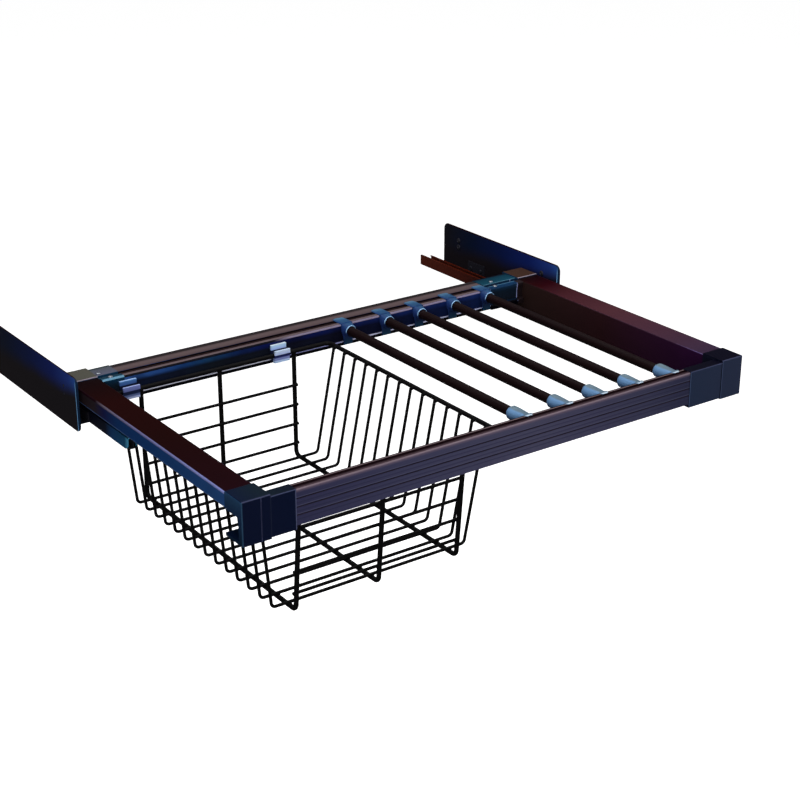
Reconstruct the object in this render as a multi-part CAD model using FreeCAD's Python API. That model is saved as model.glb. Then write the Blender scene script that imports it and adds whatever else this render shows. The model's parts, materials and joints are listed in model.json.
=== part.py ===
import FreeCAD, Part
import math
import os

V = FreeCAD.Vector

# ---- pull out frame: x runs along the front, y towards the back, z up, frame top at z = 0
FRAME_W = 746.0
FRAME_D = 450.0
FRAME_H = 53.0
CORNER_W = 36.0
CORNER_D = 36.0
CORNER_ROUND = 1.6
FRONT_WALL = 8.0
OPENING_TOP = 21.0
FLANGE_T = 3.8
SLIDE_SIDE_GAP = 4.0
LINE_X = 23.6
LINE_W = 0.8
LINE_DEEP = 0.5
LINE_INSET = 5.5

# ---- side rails
SIDE_DROP = 1.8
SIDE_WALL = 1.8
SIDE_ROUND = 1.5
SKIRT_H = 17.3
HEM_W = 4.0
HEM_T = 1.3
INNER_WALL_LIFT = 4.4
TONGUE_L = 20.0
TONGUE_DEEP = 13.5
FIT = 0.1

# ---- front rail
FRONT_RECESS = 1.2
FRONT_DROP = 3.5
FRONT_T = 14.2
FRONT_H = 43.6
FRONT_ROUND = 2.8
FRONT_GROOVE_Y = 5.4
FRONT_GROOVE_W = 4.6
REED_Z = (11.4, 21.6, 31.2)
REED_W = 1.0
REED_DEEP = 0.7
RAIL_WALL = 1.6
GROOVE_DEEP = 3.0
STRIP_T = 1.0
SLEEVE_FL = 32.0
SLEEVE_FR = 56.0
FRONT_SLEEVE_WALL = 0.8
FRONT_SLEEVE_FLOOR = 4.3
RAIL_END_GAP = 2.0

# ---- rear rail
REAR_RECESS = 5.0
REAR_DROP = 2.4
REAR_D = 45.5
REAR_H = 29.7
REAR_STRIP_D = 25.5
REAR_GROOVE_W = 9.5
REAR_FACE_Y = 43.5
REAR_HOLLOW = 1.6
REAR_BEVEL = 1.6
LIP_T = 3.7
SLEEVE_RL = 30.0
SLEEVE_RR = 60.0
REAR_SLEEVE_WALL = 0.7
REAR_SLEEVE_FLOOR = 1.3

# ---- slides: u is measured inwards from the frame's outer face, travel from fully out to in
TRAVEL = 275.0
SLIDE_U = 11.0
SLIDE_W = 13.0
SLIDE_T = 1.2
LIP_IN = 2.7
CHANNEL_LIFT = 0.4
CHANNEL_H = 15.6
CHANNEL_FRONT_GAP = 5.0
CHANNEL_REAR_GAP = 53.0
NOTCH_L = 12.0
NOTCH_DROP = 5.5
CARRIER_END_GAP = 4.0
CARRIER_ROOF = 20.1
CARRIER_SIDE = 10.7
CARRIER_TOP_W = 19.0
CARRIER_WEB = 2.0
RUNNER_L = 106.0
RUNNER_W = 9.0
RUNNER_FOOT_T = 1.6
RUNNER_WEB = 1.6
RUNNER_GAP = 0.6
GLIDE_L = 20.0
GLIDE_GAP = 0.15
GLIDE_H = 3.6
GLIDE_END = 5.0
CHANNEL_ROUND = 9.0

# ---- wall plates and brackets
SIDE_GAP = 8.5
PLATE_T = 2.5
PLATE_REAR_GAP = 18.0
PLATE_L = 280.0
PLATE_RISE = 19.3
PLATE_H = 71.0
PLATE_ROUND = 9.0
PLATE_EDGE = 0.8
MOUNT_HOLE_R = 2.2
MOUNT_SPACING_Y = 202.0
MOUNT_SPACING_Z = 10.5
MOUNT_RISE = 1.1
BRACKET_L = 40.0
BRACKET_IN = (19.0, 174.0)
BRACKET_LIFT = 0.3
BRACKET_T = 2.0
BRACKET_PLATE_LEG = 21.5
BRACKET_CHANNEL_LEG = 13.0
BRACKET_SCREW_UP = 12.0
BRACKET_SCREW_INSET = 8.0
STOP_INSET = 2.0
STOP_L = 6.0
STOP_H = 11.0

# ---- screws
SCREW_R = 1.6
SCREW_HEAD_R = 3.0
SCREW_HEAD_H = 1.5
SCREW_FIT = 0.05
SCREW_SLOT_W = 0.8
SCREW_SLOT_DEEP = 0.6
CARRIER_SCREW_END = 60.0
REAR_SCREW_SHORT = 6.0
REAR_SCREW_LONG = 41.0
REAR_SCREW_STEP = 7.5

# ---- basket
BASKET_SIDE_GAP = 1.5
BASKET_TOP_W = 326.0
BASKET_LEFT_LEAN = 19.6
BASKET_RIGHT_LEAN = 34.4
BASKET_TOP_Z = 20.6
BASKET_FLOOR_Z = 171.5
BASKET_REAR_GAP = 2.4
BASKET_FRONT_GAP = 1.7
BASKET_FRONT_LEAN = 13.5
THICK_R = 3.0
THIN_R = 2.0
WELD_GAP = 0.02
RUNNER_WIRE_INSET = 23.8
RUNNER_WIRE_STEP = 113.3
RUNNER_WIRE_BEND = 8.0
TOP_BEND = 8.0
RIB_STEP = 25.2
RIB_REAR_INSET = 19.9
RIB_FRONT_INSET = 10.0
RIB_BEND = 6.0
CROSS_Z = (67.3, 95.7, 123.6, 151.9)
CROSS_OVER = 1.5

# ---- basket clips
CLIP_W = 23.0
CLIP_LAST = 76.5
CLIP_TOP_Z = 7.5
CLIP_T = 1.2
CLIP_LEDGE_T = 6.0
CLIP_GAP = 0.3
CLIP_NOSE_Z = 13.0
CLIP_NOSE_H = 5.8
CLIP_NOSE_OUT = 1.5

# ---- trouser bars
BAR_FIRST_GAP = 30.7
BAR_LAST_GAP = 10.5
BAR_SPREAD = (0.0, 0.265, 0.499, 0.745, 1.0)
BAR_R = 6.25
BAR_WALL = 1.2
BAR_FIT = 0.05
BAR_Z = 10.6
HOLDER_R = 9.4
HOLDER_L = 9.5
HOLDER_BACK = 2.0
HOLDER_HOOK_OVER = 5.0
HOLDER_TOOTH_L = 6.0
HOLDER_FOOT_T = 2.6
RIDE_GAP = 0.2
TOOTH_DEEP = 1.6
CAP_R = 9.0
CAP_L = 27.0
CAP_WALL = 2.0
CAP_HOOK_T = 1.3
CAP_TOOTH_L = 2.6
CAP_TAPER = 1.6

# ---- placing: the origin is the middle of the right plate's screw pattern, on the wall
FRAME_TO_WALL = SIDE_GAP + PLATE_T
CHANNEL_Y0 = TRAVEL + FRONT_WALL + CHANNEL_FRONT_GAP
CHANNEL_Y1 = FRAME_D + TRAVEL - CHANNEL_REAR_GAP
PLATE_Y1 = CHANNEL_Y1 - PLATE_REAR_GAP
PLATE_Y0 = PLATE_Y1 - PLATE_L
PLATE_MID_Y = (PLATE_Y0 + PLATE_Y1) / 2.0
MOUNT_Z = -MOUNT_RISE - MOUNT_SPACING_Z / 2.0
SHIFT = V(-(FRAME_W + FRAME_TO_WALL), -PLATE_MID_Y, -MOUNT_Z)

nodes = {}


def add(name, *shapes):
    nodes[name] = shapes[0] if len(shapes) == 1 else Part.makeCompound(list(shapes))


def block(x0, x1, y0, y1, z0, z1):
    return Part.makeBox(x1 - x0, y1 - y0, z1 - z0, V(x0, y0, z0))


def rod(radius, start, end):
    line = end - start
    return Part.makeCylinder(radius, line.Length, start, line)


def prism(points, axis_from, length, plane):
    """Extrude a closed outline. plane 'yz' runs along x, plane 'xz' runs along y."""
    if plane == "yz":
        spots = [V(axis_from, a, b) for a, b in points]
        run = V(length, 0, 0)
    else:
        spots = [V(a, axis_from, b) for a, b in points]
        run = V(0, length, 0)
    return Part.Face(Part.makePolygon(spots + [spots[0]])).extrude(run)


def rounded_path(points, bend, closed=False):
    """Straight runs joined by arcs of the given bend radius."""
    count = len(points)
    corners = range(count) if closed else range(1, count - 1)
    cut = {}
    for i in corners:
        here, before, after = points[i], points[i - 1], points[(i + 1) % count]
        d0 = (before - here).normalize()
        d1 = (after - here).normalize()
        half = d0.getAngle(d1) / 2.0
        back = bend / math.tan(half)
        middle = (d0 + d1).normalize()
        centre = here + middle * (bend / math.sin(half))
        cut[i] = (here + d0 * back, centre - middle * bend, here + d1 * back)
    edges = []
    for i in range(count if closed else count - 1):
        j = (i + 1) % count
        start = cut[i][2] if i in cut else points[i]
        end = cut[j][0] if j in cut else points[j]
        edges.append(Part.makeLine(start, end))
        if j in cut:
            edges.append(Part.Arc(*cut[j]).toShape())
    return Part.Wire(edges)


def bent_wire(points, radius, bend, closed=False):
    path = rounded_path(points, bend, closed)
    first = path.Edges[0]
    start = first.valueAt(first.FirstParameter)
    ring = Part.Wire(Part.makeCircle(radius, start, first.tangentAt(first.FirstParameter)))
    return path.makePipeShell([ring], True, False)


def fillet_where(shape, radius, test):
    edges = [e for e in shape.Edges if test(e)]
    return shape.makeFillet(radius, edges) if edges else shape


def along(edge, axis):
    box = edge.BoundBox
    size = {"x": box.XLength, "y": box.YLength, "z": box.ZLength}
    return all(size[k] < 1e-6 for k in size if k != axis) and size[axis] > 1e-6


def mirrored(shape):
    return shape.mirror(V(FRAME_W / 2.0, 0, 0), V(1, 0, 0))


def screw(tip, head, seat):
    """A pan head screw from its tip to the seat of its head; head gives the way it faces."""
    way = V(head)
    body = Part.makeCylinder(SCREW_R, (seat - tip).Length, tip, way)
    cap = Part.makeCylinder(SCREW_HEAD_R, SCREW_HEAD_H, seat, way)
    cap = fillet_where(cap, SCREW_HEAD_H * 0.6, lambda e: (e.CenterOfMass - seat).Length > SCREW_HEAD_H * 0.9
                       and e.BoundBox.DiagonalLength > SCREW_HEAD_R)
    side = V(0, 1, 0) if abs(way.y) < 0.5 else V(1, 0, 0)
    other = way.cross(side)
    floor = seat + way * (SCREW_HEAD_H - SCREW_SLOT_DEEP)
    slot = Part.Face(Part.makePolygon([
        floor + side * (a * SCREW_HEAD_R) + other * (b * SCREW_SLOT_W / 2)
        for a, b in ((-1, -1), (1, -1), (1, 1), (-1, 1), (-1, -1))])).extrude(way * SCREW_HEAD_H)
    return body.fuse(cap).removeSplitter().cut(slot)


# ---- where the pieces meet
side_top = -SIDE_DROP
skirt_low = side_top - SKIRT_H
tongue_top = side_top - SIDE_WALL - FIT
tongue_low = tongue_top - TONGUE_DEEP
front_y0 = FRONT_RECESS
front_y1 = front_y0 + FRONT_T
front_top = -FRONT_DROP
front_low = front_top - FRONT_H
rear_y1 = FRAME_D - REAR_RECESS
rear_y0 = rear_y1 - REAR_D
rear_top = -REAR_DROP
rear_low = rear_top - REAR_H
rear_groove_y1 = rear_y1 - REAR_STRIP_D
rear_groove_y0 = rear_groove_y1 - REAR_GROOVE_W
rear_face_y = rear_y1 - REAR_FACE_Y
cavity_low = -(FRAME_H - FLANGE_T)
u0, u1 = SLIDE_U, SLIDE_U + SLIDE_W
mid = (u0 + u1) / 2.0

# ---- corner connectors


def corner_block(rear):
    y0 = FRAME_D - CORNER_D if rear else 0.0
    shape = block(0, CORNER_W, y0, y0 + CORNER_D, -FRAME_H, 0)
    outer_y = FRAME_D if rear else 0.0
    shape = fillet_where(shape, CORNER_ROUND, lambda e: (along(e, "z") and e.BoundBox.XMax < 1e-6
                         and abs(e.BoundBox.YMax - outer_y) < 1e-6)
                         or (e.BoundBox.ZMin > -1e-6 and (e.BoundBox.XMax < 1e-6 or along(e, "x"))))
    if rear:
        hole = block(-1, u1 + SLIDE_SIDE_GAP, y0 - 1, y0 + CORNER_D + 1, cavity_low, -OPENING_TOP)
    else:
        hole = block(-1, CORNER_W + 1, FRONT_WALL, CORNER_D + 1, cavity_low, -OPENING_TOP)
    shape = shape.cut(hole)
    tongue_y = y0 - TONGUE_L if rear else CORNER_D
    tongue = block(SIDE_WALL + FIT, CORNER_W - SIDE_WALL - FIT, tongue_y, tongue_y + TONGUE_L,
                   tongue_low, tongue_top)
    return shape.fuse(tongue)


def rail_screw_spot(rear):
    middle = FRAME_D - CORNER_D - TONGUE_L / 2.0 if rear else CORNER_D + TONGUE_L / 2.0
    return V(mid, middle, 0)


def drill(shape, spot, way, length):
    return shape.cut(Part.makeCylinder(SCREW_R + SCREW_FIT, length, spot, way))


def front_sleeve(length):
    wall = FRONT_SLEEVE_WALL
    outer = block(CORNER_W, CORNER_W + length, front_y0 - wall, front_y1 + wall,
                  front_low - FRONT_SLEEVE_FLOOR, front_top + wall)
    outer = fillet_where(outer, 0.7, lambda e: along(e, "x") and e.BoundBox.ZMin > front_top)
    pocket = block(CORNER_W + RAIL_END_GAP, CORNER_W + length + 1, front_y0 - FIT, front_y1 + FIT,
                   front_low - FIT, front_top + FIT)
    return outer, pocket


def rear_outline(grow, groove_in):
    """The rear rail's section, grown outwards, with its groove narrowed by the second value."""
    y0, y1 = rear_y0 - grow, rear_y1 + grow
    top, low = rear_top + grow, rear_low - grow
    g0, g1 = rear_groove_y0 + groove_in, rear_groove_y1 - groove_in
    dip = rear_top - GROOVE_DEEP + grow
    face = rear_face_y - grow
    return [(y1, top), (g1, top), (g1, dip), (g0, dip), (g0, top), (face + REAR_BEVEL, top),
            (face, top - REAR_BEVEL), (face + REAR_BEVEL, top - REAR_H * 0.42),
            (face + REAR_BEVEL, rear_low + LIP_T * 1.6 + grow),
            (y0, rear_low + LIP_T + grow), (y0, low), (y1, low)]


def rear_sleeve(length):
    grow = REAR_SLEEVE_WALL
    outer = prism(rear_outline(grow, grow), CORNER_W, length, "yz")
    floor = block(CORNER_W, CORNER_W + length, rear_y0 - grow, rear_y1 + grow,
                  rear_low - REAR_SLEEVE_FLOOR, rear_low)
    outer = outer.fuse(floor)
    relief = block(CORNER_W, CORNER_W + CLIP_GAP, rear_y0 - 2 * grow, FRAME_D - CORNER_D,
                   rear_low - 2 * REAR_SLEEVE_FLOOR, 0)
    pocket = prism(rear_outline(FIT, FIT), CORNER_W + RAIL_END_GAP, length, "yz")
    return outer.cut(relief), pocket


def sleeve_screw_spots(first_x):
    """Two screws side by side: one through the outer strip, one through the inner strip."""
    top = rear_top + REAR_SLEEVE_WALL
    return [V(first_x, rear_groove_y1 + REAR_STRIP_D * 0.25, top),
            V(first_x + REAR_SCREW_STEP, (rear_groove_y0 + rear_face_y + REAR_BEVEL) / 2.0, top)]


def front_corner(sleeve_length, line):
    shape = corner_block(rear=False)
    outer, pocket = front_sleeve(sleeve_length)
    shape = shape.fuse(outer).cut(pocket)
    if line:
        shape = shape.cut(block(LINE_X, LINE_X + LINE_W, -1, LINE_DEEP, -FRAME_H + LINE_INSET, -LINE_INSET))
    spot = rail_screw_spot(False)
    shape = drill(shape, V(spot.x, spot.y, tongue_low - 1), V(0, 0, 1), TONGUE_DEEP + 2)
    return shape


def rear_corner(sleeve_length, screws):
    shape = corner_block(rear=True)
    outer, pocket = rear_sleeve(sleeve_length)
    shape = shape.fuse(outer).cut(pocket)
    spot = rail_screw_spot(True)
    shape = drill(shape, V(spot.x, spot.y, tongue_low - 1), V(0, 0, 1), TONGUE_DEEP + 2)
    for at in screws:
        shape = drill(shape, at + V(0, 0, 1), V(0, 0, -1), REAR_SLEEVE_WALL + 2)
    return shape


short_screws = sleeve_screw_spots(CORNER_W + REAR_SCREW_SHORT)
long_screws = sleeve_screw_spots(CORNER_W + REAR_SCREW_LONG)
all_sleeve_screws = short_screws + [V(FRAME_W - at.x, at.y, at.z) for at in long_screws]
add("corner_front_left", front_corner(SLEEVE_FL, True))
add("corner_front_right", mirrored(front_corner(SLEEVE_FR, False)))
add("corner_rear_left", rear_corner(SLEEVE_RL, short_screws))
add("corner_rear_right", mirrored(rear_corner(SLEEVE_RR, long_screws)))

# ---- front rail with its reeded face and groove strip
front_x0 = CORNER_W + RAIL_END_GAP + FIT
front_x1 = FRAME_W - front_x0
front_len = front_x1 - front_x0
groove_y0 = front_y0 + FRONT_GROOVE_Y
groove_y1 = groove_y0 + FRONT_GROOVE_W
rail = block(front_x0, front_x1, front_y0, front_y1, front_low, front_top)
rail = fillet_where(rail, FRONT_ROUND, lambda e: along(e, "x") and e.BoundBox.ZMin > front_top - 1e-6
                    and e.BoundBox.YMax < front_y0 + 1e-6)
rail = rail.cut(block(front_x0 - 1, front_x1 + 1, front_y0 + RAIL_WALL, front_y1 - RAIL_WALL,
                      front_low + RAIL_WALL, front_top - GROOVE_DEEP - RAIL_WALL))
rail = rail.cut(block(front_x0 - 1, front_x1 + 1, groove_y0, groove_y1,
                      front_top - GROOVE_DEEP, front_top + 1))
for drop in REED_Z:
    z = front_top - drop
    rail = rail.cut(block(front_x0 - 1, front_x1 + 1, front_y0 - 1, front_y0 + REED_DEEP,
                          z - REED_W / 2, z + REED_W / 2))
add("front_rail", rail)
add("front_groove_strip", block(CORNER_W + SLEEVE_FL + 1, FRAME_W - CORNER_W - SLEEVE_FR - 1,
                                groove_y0, groove_y1,
                                front_top - GROOVE_DEEP, front_top - GROOVE_DEEP + STRIP_T))

# ---- rear rail with its groove strip
rear_rail = prism(rear_outline(0, 0), front_x0, front_len, "yz")
hollow = block(front_x0 - 1, front_x1 + 1, rear_face_y + REAR_BEVEL + REAR_HOLLOW, rear_y1 - REAR_HOLLOW,
               rear_low + REAR_HOLLOW, rear_top - GROOVE_DEEP - REAR_HOLLOW)
rear_rail = rear_rail.cut(hollow)
for at in all_sleeve_screws:
    rear_rail = drill(rear_rail, at, V(0, 0, -1), GROOVE_DEEP + REAR_HOLLOW + REAR_SLEEVE_WALL + 1)
add("rear_rail", rear_rail)
add("rear_groove_strip", block(CORNER_W + SLEEVE_RL + 1, FRAME_W - CORNER_W - SLEEVE_RR - 1,
                               rear_groove_y0, rear_groove_y1,
                               rear_top - GROOVE_DEEP, rear_top - GROOVE_DEEP + STRIP_T))

# ---- side rails
side_y0 = CORNER_D
side_y1 = FRAME_D - CORNER_D
inner_low = -FRAME_H + INNER_WALL_LIFT
side_outline = [(0, side_top), (CORNER_W, side_top), (CORNER_W, inner_low),
                (CORNER_W - SIDE_WALL, inner_low), (CORNER_W - SIDE_WALL, side_top - SIDE_WALL),
                (SIDE_WALL, side_top - SIDE_WALL), (SIDE_WALL, skirt_low + HEM_T),
                (SIDE_WALL + HEM_W, skirt_low + HEM_T), (SIDE_WALL + HEM_W, skirt_low), (0, skirt_low)]
side = prism(side_outline, side_y0, side_y1 - side_y0, "xz")
side = fillet_where(side, SIDE_ROUND, lambda e: along(e, "y") and e.BoundBox.ZMin > side_top - 1e-6)
for end in (False, True):
    spot = rail_screw_spot(end)
    side = drill(side, V(spot.x, spot.y, side_top - SIDE_WALL - 1), V(0, 0, 1), 2)

# ---- slide carrier under the side rail
carrier_y0 = CORNER_D + TONGUE_L + CARRIER_END_GAP
carrier_y1 = FRAME_D - carrier_y0
carrier_top = side_top - SIDE_WALL
roof = -CARRIER_ROOF
top_half = CARRIER_TOP_W / 2.0
web_half = CARRIER_WEB / 2.0
carrier_low = roof - CARRIER_SIDE
carrier_outline = [(mid - top_half, carrier_top), (mid + top_half, carrier_top),
                   (mid + top_half, carrier_top - SLIDE_T), (mid + web_half, carrier_top - SLIDE_T),
                   (mid + web_half, roof), (u1, roof), (u1, carrier_low), (u1 - LIP_IN, carrier_low),
                   (u1 - LIP_IN, carrier_low + SLIDE_T), (u1 - SLIDE_T, carrier_low + SLIDE_T),
                   (u1 - SLIDE_T, roof - SLIDE_T), (u0 + SLIDE_T, roof - SLIDE_T),
                   (u0 + SLIDE_T, carrier_low + SLIDE_T), (u0 + LIP_IN, carrier_low + SLIDE_T),
                   (u0 + LIP_IN, carrier_low), (u0, carrier_low), (u0, roof), (mid - web_half, roof),
                   (mid - web_half, carrier_top - SLIDE_T), (mid - top_half, carrier_top - SLIDE_T)]
carrier = prism(carrier_outline, carrier_y0, carrier_y1 - carrier_y0, "xz")
carrier_screws = []
for y in (carrier_y0 + CARRIER_SCREW_END, carrier_y1 - CARRIER_SCREW_END):
    for x in (mid - top_half / 2 - web_half, mid + top_half / 2 + web_half):
        seat = V(x, y, carrier_top - SLIDE_T)
        carrier = drill(carrier, seat - V(0, 0, 1), V(0, 0, 1), SLIDE_T + 2)
        side = drill(side, V(x, y, carrier_top - 1), V(0, 0, 1), 1 + SIDE_WALL - 0.6)
        carrier_screws.append(screw(V(x, y, carrier_top + SIDE_WALL - 0.8), V(0, 0, -1), seat))
add("side_rail_left", side)
add("side_rail_right", mirrored(side))
add("carrier_left", carrier)
add("carrier_right", mirrored(carrier))
add("carrier_screws", *(carrier_screws + [mirrored(s) for s in carrier_screws]))

rail_screws = []
for end in (False, True):
    spot = rail_screw_spot(end)
    rail_screws.append(screw(V(spot.x, spot.y, side_top - SIDE_WALL + 0.8), V(0, 0, -1),
                             V(spot.x, spot.y, tongue_low)))
add("rail_screws", *(rail_screws + [mirrored(s) for s in rail_screws]))

screw_down = V(0, 0, REAR_SLEEVE_WALL + REAR_HOLLOW)
add("sleeve_screws", *[screw(at - screw_down, V(0, 0, 1), at) for at in all_sleeve_screws])

# ---- fixed channel on the wall side
channel_low = cavity_low + CHANNEL_LIFT
channel_top = channel_low + CHANNEL_H
channel_outline = [(u0, channel_low), (u1, channel_low), (u1, channel_top), (u1 - LIP_IN, channel_top),
                   (u1 - LIP_IN, channel_top - SLIDE_T), (u1 - SLIDE_T, channel_top - SLIDE_T),
                   (u1 - SLIDE_T, channel_low + SLIDE_T), (u0 + SLIDE_T, channel_low + SLIDE_T),
                   (u0 + SLIDE_T, channel_top - SLIDE_T), (u0 + LIP_IN, channel_top - SLIDE_T),
                   (u0 + LIP_IN, channel_top), (u0, channel_top)]
channel = prism(channel_outline, CHANNEL_Y0, CHANNEL_Y1 - CHANNEL_Y0, "xz")
nose_y = CHANNEL_Y0 + CHANNEL_ROUND
nose_z = channel_low + CHANNEL_ROUND
nose = block(u0 - 1, u1 + 1, CHANNEL_Y0 - 1, nose_y, channel_low - 1, nose_z)
nose = nose.cut(rod(CHANNEL_ROUND, V(u0 - 2, nose_y, nose_z), V(u1 + 2, nose_y, nose_z)))
channel = channel.cut(nose)
channel = channel.cut(block(u0 - 1, mid, CHANNEL_Y1 - NOTCH_L, CHANNEL_Y1 + 1,
                            channel_top - NOTCH_DROP, channel_top + 1))
add("channel_left", channel)
add("channel_right", mirrored(channel))

stop_y1 = CHANNEL_Y1 - STOP_INSET
stop = block(u0 + SLIDE_T + FIT, u1 - SLIDE_T - FIT, stop_y1 - STOP_L, stop_y1,
             channel_low + SLIDE_T, channel_low + SLIDE_T + STOP_H)
stop = stop.cut(block(u0, mid, stop_y1 - STOP_L - 1, stop_y1 + 1, channel_top - NOTCH_DROP, channel_top))
add("channel_stops", stop, mirrored(stop))

# ---- runner between the channel and the carrier, with its glides
runner_low = channel_low + SLIDE_T + RUNNER_GAP
runner_top = roof - SLIDE_T - RUNNER_GAP
half = RUNNER_W / 2.0
web = RUNNER_WEB / 2.0
foot_top = runner_low + RUNNER_FOOT_T
head_low = runner_top - RUNNER_FOOT_T
runner_outline = [(mid - half, runner_low), (mid + half, runner_low), (mid + half, foot_top),
                  (mid + web, foot_top), (mid + web, head_low), (mid + half, head_low),
                  (mid + half, runner_top), (mid - half, runner_top), (mid - half, head_low),
                  (mid - web, head_low), (mid - web, foot_top), (mid - half, foot_top)]
runner_y0 = (carrier_y1 + CHANNEL_Y0 - RUNNER_L) / 2.0
runner_y1 = runner_y0 + RUNNER_L
runner = prism(runner_outline, runner_y0, RUNNER_L, "xz")
add("runner_left", runner)
add("runner_right", mirrored(runner))

glide_x0, glide_x1 = u0 + SLIDE_T + GLIDE_GAP, u1 - SLIDE_T - GLIDE_GAP
low_glides = [nose_y + GLIDE_END, runner_y1 - GLIDE_END - GLIDE_L]
high_glides = [runner_y0 + GLIDE_END, carrier_y1 - GLIDE_END - GLIDE_L]
lower, upper = [], []
for y in low_glides:
    pad = block(glide_x0, glide_x1, y, y + GLIDE_L, channel_low + SLIDE_T + GLIDE_GAP,
                channel_low + SLIDE_T + GLIDE_GAP + GLIDE_H)
    lower.append(pad.cut(runner))
for y in high_glides:
    pad = block(glide_x0, glide_x1, y, y + GLIDE_L, roof - SLIDE_T - GLIDE_GAP - GLIDE_H,
                roof - SLIDE_T - GLIDE_GAP)
    upper.append(pad.cut(runner))
add("glides_lower", *(lower + [mirrored(g) for g in lower]))
add("glides_upper", *(upper + [mirrored(g) for g in upper]))

# ---- wall plate, brackets and their screws
plate_x0 = -FRAME_TO_WALL
plate_x1 = -SIDE_GAP
plate_low = PLATE_RISE - PLATE_H
plate = block(plate_x0, plate_x1, PLATE_Y0, PLATE_Y1, plate_low, PLATE_RISE)
plate = fillet_where(plate, PLATE_ROUND, lambda e: along(e, "x"))
plate = plate.makeChamfer(PLATE_EDGE, [e for e in plate.Edges if abs(e.BoundBox.XMin - plate_x1) < 1e-6])
for sy in (-1, 1):
    for sz in (-1, 1):
        spot = V(plate_x0 - 1, PLATE_MID_Y + sy * MOUNT_SPACING_Y / 2, MOUNT_Z + sz * MOUNT_SPACING_Z / 2)
        plate = plate.cut(Part.makeCylinder(MOUNT_HOLE_R, PLATE_T + 2, spot, V(1, 0, 0)))

bracket_low = channel_low + BRACKET_LIFT
brackets, bracket_screws = [], []
for y in [PLATE_Y0 + inset for inset in BRACKET_IN]:
    shape = block(plate_x1, u0, y, y + BRACKET_L, bracket_low, bracket_low + BRACKET_T)
    shape = shape.fuse(block(plate_x1, plate_x1 + BRACKET_T, y, y + BRACKET_L,
                             bracket_low, bracket_low + BRACKET_PLATE_LEG))
    shape = shape.fuse(block(u0 - BRACKET_T, u0, y, y + BRACKET_L,
                             bracket_low, bracket_low + BRACKET_CHANNEL_LEG)).removeSplitter()
    for sy in (y + BRACKET_SCREW_INSET, y + BRACKET_L - BRACKET_SCREW_INSET):
        seat = V(plate_x1 + BRACKET_T, sy, bracket_low + BRACKET_SCREW_UP)
        shape = drill(shape, seat + V(1, 0, 0), V(-1, 0, 0), BRACKET_T + 2)
        plate = drill(plate, V(plate_x1 + 1, sy, seat.z), V(-1, 0, 0), PLATE_T - 0.6 + 1)
        bracket_screws.append(screw(V(plate_x1 - PLATE_T + 0.8, sy, seat.z), V(1, 0, 0), seat))
    brackets.append(shape)
add("plate_left", plate)
add("plate_right", mirrored(plate))
add("brackets_left", *brackets)
add("brackets_right", *[mirrored(b) for b in brackets])
add("bracket_screws", *(bracket_screws + [mirrored(s) for s in bracket_screws]))

# ---- basket
basket_y1 = rear_y0 - BASKET_REAR_GAP - THICK_R
basket_y0 = front_y1 + BASKET_FRONT_GAP + THICK_R
left_top = CORNER_W + BASKET_SIDE_GAP + THICK_R
right_top = left_top + BASKET_TOP_W
left_foot = left_top + BASKET_LEFT_LEAN
right_foot = right_top - BASKET_RIGHT_LEAN
top_z, floor_z = -BASKET_TOP_Z, -BASKET_FLOOR_Z
add("basket_top_frame", bent_wire([V(left_top, basket_y0, top_z), V(right_top, basket_y0, top_z),
                                   V(right_top, basket_y1, top_z), V(left_top, basket_y1, top_z)],
                                  THICK_R, TOP_BEND, closed=True))
wall_run = top_z - floor_z
lean_y0 = basket_y0 + BASKET_FRONT_LEAN
runner_x = [left_foot + RUNNER_WIRE_INSET + number * RUNNER_WIRE_STEP for number in range(3)]
runners = []
for x in runner_x:
    runner = bent_wire([V(x, basket_y0, top_z), V(x, lean_y0, floor_z),
                        V(x, basket_y1, floor_z), V(x, basket_y1, top_z)], THICK_R, RUNNER_WIRE_BEND)
    for y in (basket_y0, basket_y1):
        seat = V(x - 2 * THICK_R, y, top_z)
        runner = runner.cut(rod(THICK_R + WELD_GAP, seat, seat + V(4 * THICK_R, 0, 0)))
    runners.append(runner)
add("basket_runners", *runners)

rib_z = floor_z + THICK_R + THIN_R + WELD_GAP
beside = THICK_R + THIN_R + WELD_GAP
left_rib = left_top + beside * math.hypot(BASKET_LEFT_LEAN, wall_run) / wall_run
right_rib = right_top - beside * math.hypot(BASKET_RIGHT_LEAN, wall_run) / wall_run
ribs = []
y = basket_y1 - RIB_REAR_INSET
while y > lean_y0 + RIB_FRONT_INSET:
    ribs.append(bent_wire([V(left_rib, y, top_z), V(left_foot, y, rib_z),
                           V(right_foot, y, rib_z), V(right_rib, y, top_z)], THIN_R, RIB_BEND))
    y -= RIB_STEP
add("basket_ribs", *ribs)


def cross_wires(top_y, foot_y, inward):
    """Thin wires welded across the runners, on the side that inward points to."""
    wires = []
    tilt = math.hypot(foot_y - top_y, wall_run) / wall_run
    for drop in CROSS_Z:
        share = (top_z + drop) / wall_run
        y = top_y + (foot_y - top_y) * share + inward * beside * tilt
        wires.append(rod(THIN_R, V(runner_x[0] - CROSS_OVER, y, -drop),
                         V(runner_x[-1] + CROSS_OVER, y, -drop)))
    return wires


add("basket_rear_wires", *cross_wires(basket_y1, basket_y1, -1))
add("basket_front_wires", *cross_wires(basket_y0, lean_y0, 1))

# ---- clips that carry the basket's top frame
wire_low = top_z - THICK_R
ledge_top = wire_low - CLIP_GAP


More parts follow.
